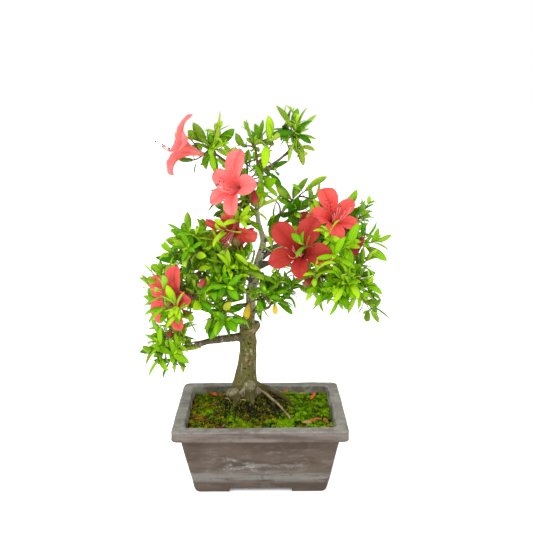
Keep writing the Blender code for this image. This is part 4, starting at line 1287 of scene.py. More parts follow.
MASSES = (
    Mass("foliage_low_left", "bough_low_left", (-0.108, -0.014, 0.166), (0.042, 0.036, 0.038),
        ((-REACH_X, 0.01, 0.172), (-0.1395, -0.02, 0.162), (-0.129, -0.03, 0.136), (-0.128, 0.0, 0.197)), 4,
        511, fullness=0.55),
    Mass("foliage_left_inner", "bough_left_inner", (-0.046, -0.026, 0.212), (0.034, 0.042, 0.034),
        ((-0.058, -0.028, 0.18), (-0.034, -0.034, 0.184)), 5, 2012, fullness=0.8),
    Mass("foliage_left_low", "bough_left_front", (-0.092, -0.038, 0.228), (0.052, 0.052, 0.04),
        ((-0.13, -0.02, 0.2665), (-0.1385, -0.008, 0.2487), (-0.069, -0.055, 0.195), (-0.11, -0.04, 0.19)),
        6, 413, (Bloom((-0.076, -0.03, 0.234), (-0.62, -0.77, 0.02), 0.2, 1.12, Petals.CORAL,
        (-0.008, 0.006, 0.017), (1.1, 0.95, 1.0, 1.1, 1.05)),), ((-0.06, -0.058, 0.258),), fullness=0.85,
        veils=((-0.089, -0.077, 0.236), (-0.103, -0.067, 0.252))),
    Mass("foliage_left_middle", "bough_left_middle", (-0.036, -0.036, 0.262), (0.036, 0.044, 0.034),
        ((-0.014, -0.052, 0.24), (-0.047, -0.072, 0.272)), 6, 2314, fullness=0.9,
        veils=((-0.011, -0.04, 0.262),)),
    Mass("foliage_left_upper", "bough_left_upper", (-0.07, -0.014, 0.288), (0.046, 0.046, 0.036),
        ((-0.1027, -0.01, 0.3111), (-0.0632, -0.015, 0.3133), (-0.1084, 0.005, 0.2894),
        (-0.036, 0.0, 0.312)), 7, 1415, fullness=0.75),
    Mass("foliage_left_back", "bough_left_back", (-0.074, 0.052, 0.244), (0.062, 0.048, 0.054),
        ((-0.07, REACH_Y, 0.24), (-0.126, 0.04, 0.262), (-0.062, 0.06, 0.194)), 9, 1816,
        (Bloom((-0.058, 0.058, 0.25), (-0.35, 0.9, 0.25), 0.0, 1.0, Petals.CORAL),), fullness=0.6),
    Mass("foliage_centre_low", "bough_lower_right", (0.012, -0.036, 0.236), (0.036, 0.036, 0.034),
        ((0.0168, -0.025, 0.2066), (0.035, -0.045, 0.222), (0.0206, -0.03, 0.261)), 5, 1617, fullness=0.6,
        veils=((0.014, -0.04, 0.29), (0.024, -0.046, 0.276))),
    Mass("foliage_right_low", "bough_right_front", (0.092, -0.044, 0.246), (0.06, 0.05, 0.038),
        ((REACH_X, -0.055, 0.2455), (0.143, -0.06, 0.213), (0.1, -0.05, 0.2249), (0.0775, -0.055, 0.2151),
        (0.056, -0.06, 0.2223), (0.084, -REACH_Y, 0.25)), 9, 718, (), ((0.058, -0.052, 0.258),),
        fullness=0.65, veils=((0.06, -0.085, 0.273),)),
    Mass("foliage_right_upper", "bough_right_upper", (0.086, -0.02, 0.308), (0.054, 0.05, 0.04),
        ((0.1344, -0.02, 0.2935), (0.1426, -0.03, 0.2714), (0.1318, 0.0, 0.332), (0.1113, 0.0, 0.3468)), 7,
        2019, (Bloom((0.0506, -0.041, 0.2817), (-0.28, -0.9, 0.3), 0.45, 1.12, Petals.CRIMSON,
        (-0.015, -0.002, 0.021), (1.12, 1.0, 0.9, 1.0, 1.15), (0.0, 0.1, 0.0, -0.1, -0.1)),
        Bloom((0.078, -0.0245, 0.309), (0.2, -0.79, 0.55), -0.3, 1.04, Petals.CORAL, (0.004, 0.006, 0.02),
        (1.1, 0.9, 0.9, 1.1, 1.0), (0.1, 0.0, 0.1, 0.0, 0.2))), ((0.112, -0.034, 0.29),), fullness=0.42,
        veils=((0.073, -0.078, 0.312), (0.079, -0.085, 0.289), (0.0915, -0.075, 0.296),
        (0.045, -0.088, 0.301))),
    Mass("foliage_right_back", "bough_right_back", (0.078, 0.05, 0.272), (0.062, 0.048, 0.056),
        ((0.08, REACH_Y, 0.262), (0.136, 0.034, 0.28), (0.076, 0.052, 0.218)), 9, 20,
        (Bloom((0.066, 0.058, 0.286), (0.3, 0.88, 0.36), 0.0, 1.0, Petals.CRIMSON),), fullness=0.35),
    Mass("foliage_middle", "bough_middle", (0.038, 0.0, 0.336), (0.046, 0.034, 0.03),
        ((0.0757, -0.01, 0.3634), (0.0556, 0.01, 0.3597), (0.0191, -0.02, 0.3518), (0.0342, 0.0, 0.3477)),
        5, 2321, fullness=0.2),
    Mass("foliage_centre", "trunk", (-0.022, -0.018, 0.332), (0.036, 0.038, 0.034), ((0.01, -0.034, 0.347),
        (-0.044, 0.01, 0.318)), 4, 722, (Bloom((-0.0143, -0.028, 0.349), (-0.58, -0.76, 0.28), 0.2, 1.02,
        Petals.SALMON, lengths=(1.28, 1.0, 1.05, 0.95, 0.95), curls=(-0.15, 0.2, -0.1, 0.0, 0.2)),
        Bloom((-0.0206, -0.014, 0.32), (-0.45, -0.7, -0.55), 0.4, 0.95, Petals.SCARLET,
        (-0.01, 0.008, 0.012), (1.0, 1.1, 1.0, 0.95, 1.05), (0.0, 0.2, 0.0, 0.0, -0.2))),
        ((-0.002, -0.034, 0.33),), fullness=0.3, veils=((-0.0386, -0.055, 0.309), (-0.02, -0.055, 0.322),
        (0.003, -0.032, 0.333))),
    Mass("foliage_top_back", "bough_top_back", (-0.014, 0.042, 0.372), (0.042, 0.038, 0.036),
        ((-0.03, 0.066, 0.392), (0.014, 0.064, 0.366)), 7, 523, fullness=0.1),
    Mass("foliage_top_left", "bough_top_left", (-0.052, -0.01, 0.392), (0.038, 0.036, 0.034),
        ((-0.0721, -0.005, 0.4222), (-0.043, -0.015, 0.4211), (-0.0272, 0.0, 0.4153),
        (-0.0457, -0.02, 0.3667)), 4, 2024, (Bloom((-0.0606, -0.018, 0.3887), (-0.92, -0.3, 0.25), 0.0,
        1.04, Petals.SALMON, lengths=(1.15, 1.05, 1.05, 1.05, 1.05),
        curls=(0.08, 0.05, -0.25, -0.15, 0.2)),), fullness=0.25),
    Mass("foliage_top_middle", "trunk", (-0.004, -0.006, 0.398), (0.03, 0.034, 0.03),
        ((-0.0135, -0.01, 0.4252), (0.0057, 0.0, 0.425), (0.0158, -0.005, 0.4217)), 5, 25, fullness=0.15,
        veils=((0.006, -0.026, 0.356), (0.014, -0.02, 0.372))),
    Mass("foliage_apex", "bough_apex", (0.044, 0.0, 0.408), (0.03, 0.034, 0.036), ((0.0454, 0.0, CROWN_TOP),
        (0.0203, -0.005, 0.4403), (0.0643, 0.005, 0.4302), (0.064, -0.01, 0.4044), (0.0326, -0.01, 0.3806)),
        4, 626, fullness=0.12),
)
FOLIAGE = "azalea_foliage"
FIRST_BLOOM = 600                 # the seed of the first bloom's ruffle
TRUNK_STEM_HEIGHTS = {"foliage_centre": 0.318, "foliage_top_middle": 0.356}
GAP = 0.0003
SIDE_GAP = 0.0005
STEM_RADIUS = 0.0016
TUBE_RADIUS = 0.0022              # of a bloom where it starts
TIP_LEAF_ROOM = 0.0334            # from a twig's packed end to the crown's reach
TIP_GROWTH = 0.006                # how far the twig runs on there
CAMERA_PLACE = np.array((0.0068, -0.7936, 0.434))


def side_start(points: Array, radii: Array, height: float, target: tuple,
        width: float) -> tuple[Array, Array]:
    """Start and heading of a limb that leaves another's side at a height, clear of it.

    Args:
        points: the other limb's points.
        radii: its radii.
        height: where on it the limb leaves.
        target: the point that it heads for.
        width: the new limb's radius.

    Returns:
        The start and the heading.
    """
    base = at_height(points, height)
    above = int(np.searchsorted(points[:, 2], height))
    axis = unit(points[above] - points[above - 1])
    heading = unit(np.array(target) - base)
    lean = float(np.dot(heading, axis))
    outward = math.sqrt(max(1.0 - lean ** 2, 0.1))
    clear = np.interp(height, points[:, 2], radii) + SIDE_GAP + width * abs(lean)
    return base + heading * clear / outward, heading


class Skeleton:
    """The trunk's and boughs' axes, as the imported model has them."""

    def __init__(self) -> None:
        """Works out every axis with its radii and first heading."""
        line = smooth_curve(TRUNK_BENDS, TRUNK_RINGS)
        points, radii = line[:, :3], line[:, 3]
        self.limbs = {"trunk": (points, radii, UPRIGHT)}
        for limb in BOUGHS:
            start, heading = side_start(points, radii, limb.height, limb.bends[0], limb.radii[0])
            self.limbs[limb.name] = (*self.tapered(start, limb), heading)
        heading = unit(points[-1] - points[-2])
        self.limbs[APEX_BOUGH.name] = (*self.tapered(points[-1] + heading * GAP, APEX_BOUGH), heading)

    def tapered(self, start: Array, limb: Limb) -> tuple[Array, Array]:
        """Points and radii of a limb from its start through its bends."""
        line = smooth_curve(np.vstack((start, *limb.bends)), 2 * len(limb.bends) + 2)
        return line, np.linspace(limb.radii[0], limb.radii[1], len(line))

    def samples(self) -> tuple[Array, Array]:
        """Dense points along every limb with their radii, for clearance tests.

        Returns:
            The points and their radii.
        """
        places, widths = [], []
        for points, radii, _ in self.limbs.values():
            steps = np.linspace(0, len(points) - 1, 6 * len(points))
            whole = np.arange(len(points))
            places.append(np.stack([np.interp(steps, whole, points[:, k]) for k in range(3)], axis=1))
            widths.append(np.interp(steps, whole, radii))
        return np.concatenate(places), np.concatenate(widths)

    def stem_start(self, mass: Mass) -> tuple[Array, Array]:
        """Where a mass's stem leaves its limb and which way it heads.

        Args:
            mass: the foliage that the stem bears.

        Returns:
            The start and the heading.
        """
        points, radii, _ = self.limbs[mass.limb]
        if mass.limb == "trunk":
            return side_start(points, radii, TRUNK_STEM_HEIGHTS[mass.name], mass.centre, STEM_RADIUS)
        heading = unit(points[-1] - points[-2])
        return points[-1] + heading * GAP, heading


# ---- wood


@dataclass(frozen=True)
class Lump:
    """A swelling on the trunk: which way it faces in degrees, its height, reach, length and width."""

    facing: float
    height: float
    reach: float
    tall: float
    wide: float
    scar: float = 0.0


@dataclass(frozen=True)
class Knob:
    """A rounded burl: its middle and its half sizes."""

    place: Point
    reach: Point

    def grid(self, seed: int, rows: int = 30, columns: int = 48) -> Array:
        """An oval from pole to pole, its reach changed by noise of two sizes.

        Args:
            seed: which noise.
            rows: points from pole to pole.
            columns: points round it.

        Returns:
            Points (1, rows, columns, 3).
        """
        polar = np.linspace(0.04, math.pi - 0.04, rows)[:, None]
        round_it = (np.arange(columns) * TAU / columns)[None]
        across = np.sin(polar)
        ball = np.stack((across * np.cos(round_it), across * np.sin(round_it),
            -np.cos(polar) + 0 * round_it), -1)
        spots = np.array(self.place) + ball * np.array(self.reach)
        swell = 1 + 0.15 * lattice_noise(spots, 0.006, seed) + 0.07 * rough_noise(spots, 0.0024, seed + 1, 2)
        return (np.array(self.place) + swell[..., None] * ball * np.array(self.reach))[None]


@dataclass(frozen=True)
class Wood:
    """The trunk with its flared foot, lumps and scars, its root flanges, and every bough."""

    skeleton: Skeleton
    rings: int = 330
    sides: int = 96
    flare_reach: float = 0.45
    flare_height: float = 0.011
    lumps: tuple[Lump, ...] = (Lump(-78, 0.1065, 0.0022, 0.0056, 0.42),
        Lump(-128, 0.099, 0.0032, 0.0062, 0.48), Lump(-158, 0.1085, 0.003, 0.008, 0.4),
        Lump(-45, 0.0985, 0.0045, 0.006, 0.35), Lump(-10, 0.103, 0.0035, 0.006, 0.4),
        Lump(0, 0.188, 0.0042, 0.0034, 0.42, 0.5), Lump(-100, 0.1835, 0.0016, 0.005, 0.6),
        Lump(-60, 0.15, 0.0012, 0.0038, 0.3, 0.7), Lump(-115, 0.132, 0.0011, 0.0042, 0.34, 0.7),
        Lump(-20, 0.166, 0.0013, 0.005, 0.34), Lump(-140, 0.205, 0.0014, 0.004, 0.5),
        Lump(-80, 0.223, 0.0012, 0.0035, 0.5, 0.4), Lump(20, 0.242, 0.0013, 0.005, 0.6),
        Lump(100, 0.142, 0.0016, 0.006, 0.4, 0.6), Lump(60, 0.175, 0.0014, 0.005, 0.4))
    knobs: tuple[Knob, ...] = (
        Knob((-0.0125, 0.0005, 0.1105), (0.0068, 0.0068, 0.0076)),
        Knob((-0.0262, 0.001, 0.1025), (0.0116, 0.0084, 0.0062)),
        Knob((-0.035, 0.007, 0.099), (0.0066, 0.0064, 0.0066)),
        Knob((-0.0035, 0.0075, 0.102), (0.0052, 0.005, 0.005)),
        Knob((-0.015, -0.001, 0.0985), (0.0052, 0.0048, 0.0042)),
    )

    def trunk_grid(self) -> Array:
        """The trunk's surface: the axis pushed out by its radius, root lobes, lumps and bark.

        A root lobe is half a cosine wave round the foot that fades with height, a lump is a bell
        in height and angle whose middle a scar sinks, and the bark is noise drawn out upward.

        Returns:
            Points (1, rings, sides, 3).
        """
        line = smooth_curve(TRUNK_BENDS, self.rings)
        below = line[0] + np.outer(np.linspace(-0.012, -0.0005, 12), (0.0, 0.0, 1.0, -0.1))
        line = np.vstack((below, line))
        points = line[None, :, :3]
        spokes = tube_spokes(points, self.sides)
        angle = np.arctan2(spokes[0, :, :, 1], spokes[0, :, :, 0])
        height = points[0, :, None, 2] + np.zeros_like(angle)
        fade = np.exp(-np.maximum(height - TRUNK_FOOT, 0.0) / self.flare_height)
        lobes = 0.5 + 0.5 * np.cos(5 * angle + 0.6)
        radius = line[:, None, 3] * (1 + self.flare_reach * fade * lobes)
        for lump in self.lumps:
            off = wrapped(angle - math.radians(lump.facing)) / lump.wide
            bell = np.exp(-off ** 2 - ((height - lump.height) / lump.tall) ** 2)
            radius = radius + lump.reach * (bell - lump.scar * bell ** 5)
        share = line[:, None, 3] / 0.012
        surface = points[0, :, None] + radius[..., None] * spokes[0]
        tall = surface * np.array((1.0, 1.0, 0.38))
        flutes = lattice_noise(spokes[0] * 0.9 + surface * np.array((0, 0, 18.0)), 0.55, 81)
        bark = rough_noise(tall, 0.0042, 82, 3)
        pits = np.minimum(lattice_noise(surface, 0.0026, 87) + 0.35, 0.0)
        radius = radius + share * (0.00085 * flutes + 0.00042 * bark + 0.00055 * pits)
        return points[:, :, None] + radius[None, ..., None] * spokes

    def limb_grid(self, bends: list, radii: tuple[float, ...], seed: int, rings: int = 44, sides: int = 18,
            rough: float = 0.09) -> Array:
        """A knotty tapering limb through bends.

        Args:
            bends: points that it passes.
            radii: its radius at each bend.
            seed: which wander and knots.
            rings: rings along it.
            sides: points in a ring.
            rough: depth of its roughness as a share.

        Returns:
            Points (1, rings, sides, 3).
        """
        line = smooth_curve(np.column_stack((np.array(bends), radii)), rings)
        wander = np.stack([lattice_noise(line[:, :3] + seed, 0.012, seed + k) for k in range(3)], 1)
        hold = np.sin(np.linspace(0, math.pi, rings))[:, None]
        points = (line[:, :3] + 0.0006 * hold * wander)[None]
        spokes = tube_spokes(points, sides)
        width = line[:, 3][None, :, None]
        noise = rough_noise(points[:, :, None] + width[..., None] * spokes, 0.0034, seed, 2)
        knots = lattice_noise(points[:, :, None] + 0 * spokes, 0.009, seed + 5)
        return points[:, :, None] + (width * (1 + rough * noise + 0.12 * knots))[..., None] * spokes

    def build_trunk(self) -> None:
        """Builds the trunk with the root flanges that run from its foot into the moss, and its burls."""
        flanges = (
            (((-0.022, 0.012, 0.112), (-0.0305, 0.01, 0.104), (-0.0375, 0.008, 0.095),
                (-0.041, 0.004, 0.08)), (0.006, 0.0046, 0.0034, 0.0024)),
            (((-0.02, 0.008, 0.108), (-0.0265, -0.002, 0.101), (-0.03, -0.008, 0.092),
                (-0.0325, -0.012, 0.078)), (0.005, 0.0058, 0.004, 0.0022)),
            (((-0.014, 0.006, 0.106), (-0.011, -0.003, 0.099), (-0.008, -0.01, 0.09),
                (-0.005, -0.015, 0.078)), (0.005, 0.0042, 0.003, 0.0018)),
            (((-0.014, 0.013, 0.112), (-0.003, 0.014, 0.1065), (0.004, 0.0145, 0.1035),
                (0.012, 0.014, 0.099)), (0.006, 0.0044, 0.0036, 0.0028)),
            (((-0.016, 0.018, 0.11), (-0.01, 0.03, 0.1), (-0.005, 0.04, 0.088),
                (-0.002, 0.046, 0.077)), (0.006, 0.0044, 0.003, 0.002)),
            (((-0.02, 0.018, 0.11), (-0.029, 0.03, 0.099), (-0.036, 0.04, 0.087),
                (-0.04, 0.046, 0.077)), (0.006, 0.0042, 0.003, 0.002)),
        )
        shapes = [grids(self.trunk_grid())]
        shapes += [grids(self.limb_grid(list(bends), radii, 90 + number, 48, 28, 0.13))
            for number, (bends, radii) in enumerate(flanges)]
        piece("trunk_bark", shapes, BarkTint().material(), "bark", "trunk")
        burls = [grids(knob.grid(230 + 3 * number)) for number, knob in enumerate(self.knobs)]
        tint = BarkTint("bark_knob", (0.265, 0.228, 0.15), (0.05, 0.038, 0.022), (0.44, 0.4, 0.3),
            (0.185, 0.165, 0.08), upper_from=0.9, soiled=0.2)
        piece("trunk_knobs", burls, tint.material(), "bark")

    def build_boughs(self) -> None:
        """Builds every bough, each rooted inside the trunk with a swollen collar."""
        shapes = []
        trunk = self.skeleton.limbs["trunk"][0]
        for number, limb in enumerate((*BOUGHS, APEX_BOUGH)):
            points, radii, heading = self.skeleton.limbs[limb.name]
            base = at_height(trunk, limb.height)
            if limb is APEX_BOUGH:
                base = points[0] - heading * 0.004
            start = points[0] * 0.72 + base * 0.28
            collar = points[0] + heading * 0.0035
            widths = (radii[0] * 1.75, radii[0] * 1.25, *np.linspace(*limb.radii, len(limb.bends)))
            shapes.append(grids(self.limb_grid([start, collar, *limb.bends], widths, 120 + 9 * number)))
        tint = BarkTint("bark_bough", (0.15, 0.1, 0.065), (0.05, 0.03, 0.02), (0.3, 0.235, 0.18),
            (0.105, 0.09, 0.05), (0.23, 0.18, 0.145), 0.2)
        piece("boughs_bark", shapes, tint.material(), "bark",
            *(limb.name for limb in (*BOUGHS, APEX_BOUGH)))

    def build_roots(self) -> None:
        """Builds the arching root over the hollow and the thin straight one beside it."""
        arch = [(-0.004, 0.0145, 0.106), (0.003, 0.0145, 0.1042), (0.012, 0.014, 0.1005),
            (0.024, 0.0115, 0.094), (0.0345, 0.0085, 0.0872), (0.0405, 0.0066, 0.077)]
        stick = [(-0.004, 0.0095, 0.102), (0.005, 0.0055, 0.0995), (0.021, -0.009, 0.0908),
            (0.0325, -0.0215, 0.0832), (0.0375, -0.0265, 0.076)]
        fork = [(0.001, 0.012, 0.104), (0.007, 0.01, 0.099), (0.0125, 0.006, 0.093),
            (0.016, 0.002, 0.086), (0.0178, 0.0, 0.075)]
        arching = [self.limb_grid(arch, (0.004, 0.0034, 0.003, 0.0025, 0.0019, 0.0013), 301, 60, 20, 0.25),
            self.limb_grid(fork, (0.0024, 0.0018, 0.0014, 0.0011, 0.0008), 321, 40, 14, 0.2)]
        tint = BarkTint("root_arching", (0.11, 0.086, 0.055), (0.035, 0.025, 0.014), (0.23, 0.195, 0.145),
            (0.09, 0.08, 0.03), upper_from=0.9)
        piece("root_arching", [grids(grid) for grid in arching], tint.material(),
            "dry_root", "surface_root")
        straight = grids(self.limb_grid(stick, (0.0016, 0.0015, 0.0013, 0.0012, 0.0009), 311, 50, 14, 0.06))
        pale = PlainTint("root_straight", (0.34, 0.27, 0.15), (0.2, 0.145, 0.075), 0.8, 140.0, 0.0004)
        piece("root_straight", [straight], pale.material(), "dry_root", "aerial_root")


# ---- growth


@dataclass
class Spray:
    """The end of a twig: where it is, which way it points and what it bears."""

    place: Array
    heading: Array
    kind: str


@dataclass
class Node:
    """A point where further twigs may join."""

    place: Array
    heading: Array
    travelled: float
    children: int = 0

    def cost_to(self, place: Array) -> float:
        """How far a twig to a place would run, with a charge for a long way round or a crowd."""
        return float(norm(place - self.place) + 0.45 * self.travelled + 0.008 * self.children)


@dataclass
class Twig:
    """A fine curve with its radii."""

    points: Array
    radii: Array


def bloom_surface(bloom: Bloom, shares: Array, angles: Array, notch: float, lobe: Array) -> Array:
    """Points of a funnel: a narrow tube, then a flaring bowl whose lobes curl back at the lip.

    Along the facing it runs as 33 mm times the sine of 2.15 times the share, and it widens with
    the share's square to 31 mm; a lobe takes the share from the notch to the full length.

    Args:
        bloom: the flower.
        shares: how far up the funnel, zero to one, one for each row.
        angles: places round it, one for each column.
        notch: how far up the lobes part.
        lobe: zero at a notch and one at a petal's tip, for each column.

    Returns:
        Points (rows, columns, 3).
    """
    share = shares[:, None] * (notch + (1 - notch) * lobe)[None, :]
    along = 0.033 * np.sin(share * 2.15)
    radius = TUBE_RADIUS + (0.031 - TUBE_RADIUS) * share ** 2
    offset = along[..., None] * bloom.front + radius[..., None] * bloom.spokes(angles)
    return np.array(bloom.place) + offset * bloom.size


def coarse_bloom(bloom: Bloom) -> Array:
    """The funnel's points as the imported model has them, for the growth tests.

    Args:
        bloom: the flower.

    Returns:
        Points (3, 15, 3).
    """
    angles = np.add.outer(np.arange(5), (0.0, 0.22, 0.78)).ravel() * TAU / 5
    lobe = np.abs(np.sin(2.5 * angles)) ** 0.3
    return bloom_surface(bloom, np.linspace(0.0, 1.0, 3), angles, 0.66, lobe)


def petal_surface(bloom: Bloom, seed: int, rows: int, columns: int) -> Array:
    """Five petals that grow together to a funnel: broad lobes, creased and ruffled, that curl back.

    A petal's path leans from the axis by 0.12 + (1.78 + curl) s to the power 1.6 at share s of its
    48 mm, and its sides part from the next one's at 0.52. A lobe is
    1 - 0.42 t - 0.3 t cubed - 0.26 t to the power 18, for t from zero at its middle to one at a
    notch, so it is broad, softly pointed and parted by a narrow gap. The crease is a narrow bell at
    its middle, and the ruffle a wave that grows with the share's cube.

    Args:
        bloom: the flower.
        seed: which ruffle.
        rows: points from tube to lip.
        columns: points across a petal.

    Returns:
        Points (rows, 5 columns, 3).
    """
    rng = default_rng(seed)
    count = 5 * columns
    spot = 2.0 * (np.arange(count) / columns % 1.0) - 1.0
    t = np.sin(0.5 * math.pi * spot)
    size = np.abs(t)
    which = np.arange(count) // columns
    angles = (which + 0.5 + 0.5 * t) * TAU / 5
    lobe = 1 - 0.42 * size - 0.3 * size ** 3 - 0.26 * size ** 18
    lengths = np.array(bloom.lengths) * rng.uniform(0.96, 1.04, 5)
    curls = np.array(bloom.curls) + rng.normal(0, 0.06, 5)
    notch, path = 0.52, 0.048
    beside = (which + np.sign(t).astype(int)) % 5
    length = lengths[which] + 0.5 * size ** 6 * (lengths[beside] - lengths[which])
    curl = curls[which] + 0.5 * size ** 4 * (curls[beside] - curls[which])
    share = np.linspace(0.0, 1.0, rows)[:, None] * (notch + (1 - notch) * lobe) * length
    lean = 0.12 + (1.78 + curl) * share ** 1.6
    run = np.diff(share, axis=0) * path
    middle = 0.5 * (lean[1:] + lean[:-1])
    along = np.vstack((np.zeros(count), np.cumsum(run * np.cos(middle), axis=0)))
    radius = TUBE_RADIUS + np.vstack((np.zeros(count), np.cumsum(run * np.sin(middle), axis=0)))
    spokes = bloom.spokes(angles)
    ruffle = 0.0014 * np.sin(11 * angles + rng.uniform(0, TAU)) + 0.0007 * np.sin(27 * angles + 1.0)
    crease = -0.0015 * np.exp(-(t / 0.16) ** 2) + 0.0026 * size ** 2
    push = share ** 3 * ruffle * (0.3 + size) + share * crease
    inward = np.sin(lean)[..., None] * bloom.front - np.cos(lean)[..., None] * spokes
    offset = along[..., None] * bloom.front + radius[..., None] * spokes + push[..., None] * inward
    return np.array(bloom.place) + offset * bloom.size


class Space:
    """The room that each mass keeps to: a rounded space, shared out by nearness, off the limbs."""

    def __init__(self, skeleton: Skeleton) -> None:
        """Gathers the masses' middles and sizes, the limbs and the blooms.

        Args:
            skeleton: the limbs.
        """
        blooms = [bloom for mass in MASSES for bloom in mass.blooms]
        self.centres = np.array([mass.centre for mass in MASSES])
        self.sizes = np.array([sum(mass.reach) / 3 for mass in MASSES])
        self.limb_points, self.limb_radii = skeleton.samples()
        self.bloom_points = np.concatenate([coarse_bloom(bloom).reshape(-1, 3) for bloom in blooms])
        self.petal_points = np.concatenate([petal_surface(bloom, FIRST_BLOOM + number, 8, 8).reshape(-1, 3)
            for number, bloom in enumerate(blooms)])
        shown = [(bloom.ahead(0.024) + np.array((bloom.clear[0], 0.0, bloom.clear[1])), bloom.clear[2])
            for bloom in blooms if bloom.facing[1] < 0.5]
        shown += [(0.5 * (np.array(bud.base) + np.array(bud.tip)), 0.007) for bud in BUDS[:4]]
        shown += [(0.5 * (np.array(old.root) + np.array(old.tip)), 0.008) for old in DROOPERS]
        shown += [(at_height(skeleton.limbs["trunk"][0], height), 0.0065)
            for height in (0.2, 0.212, 0.24, 0.264, 0.278)]
        self.faces = np.array([place for place, _ in shown])
        self.circles = np.array([radius for _, radius in shown])
        self.views = unit(CAMERA_PLACE - self.faces)

    def own_share(self, points: Array, index: int) -> bool:
        """True where all points are nearer to this mass than to its neighbours, with a gap.

        Args:
            points: places, (n, 3).
            index: which mass.

        Returns:
            Whether they all are.
        """
        powers = ((points[:, None, :] - self.centres) ** 2).sum(axis=2) - self.sizes ** 2
        lead = powers - powers[:, index:index + 1]
        apart = norm(self.centres - self.centres[index], axis=1)
        lead[:, index] = np.inf
        return self.inside(points) and bool((lead > 0.0008 * apart).all())

    def inside(self, points: Array) -> bool:
        """True where all points keep to the crown's reach."""
        return bool((np.abs(points) < np.array((REACH_X, REACH_Y, CROWN_TOP)) + 1e-6).all())

    def off_limbs(self, points: Array, clearance: float = 0.0017) -> bool:
        """True where all points stand clear of the trunk and every bough."""
        away = norm(points[:, None, :] - self.limb_points, axis=2) - self.limb_radii
        return bool((away > clearance).all())

    def off_blooms(self, points: Array, clearance: float) -> bool:
        """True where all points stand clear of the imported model's bloom points."""
        return bool((norm(points[:, None] - self.bloom_points, axis=2) > clearance).all())

    def off_petals(self, points: Array, clearance: float = 0.0036) -> bool:
        """True where all points stand clear of every petal."""
        return bool((norm(points[:, None] - self.petal_points, axis=2) > clearance).all())

    def hides(self, points: Array) -> bool:
        """True where a point stands before a bloom, bud or the stem, as seen from the front.

        Args:
            points: places, (n, 3).

        Returns:
            Whether any does.
        """
        off = points[:, None, :] - self.faces
        ahead = (off * self.views).sum(axis=2)
        beside = norm(off - ahead[..., None] * self.views, axis=2)
        return bool(((ahead > 0.002) & (beside < self.circles)).any())


def cubic(start: Array, leaving: Array, end: Array, arriving: Array, steps: int) -> Array:
    """One curve that leaves along one heading and arrives along another."""
    return cubic_paths(start[None], leaving[None], end[None], arriving[None], steps)[0]


def chord_samples(path: Array) -> Array:
    """Six even samples along each straight run of a path, for clearance tests."""
    share = np.linspace(0.0, 1.0, 6, endpoint=False)[:, None]
    return np.concatenate((*[a + (b - a) * share for a, b in zip(path[:-1], path[1:])], path[-1:]))


def path_length(path: Array) -> float:
    """The length of a path."""
    return float(norm(np.diff(path, axis=0), axis=1).sum())


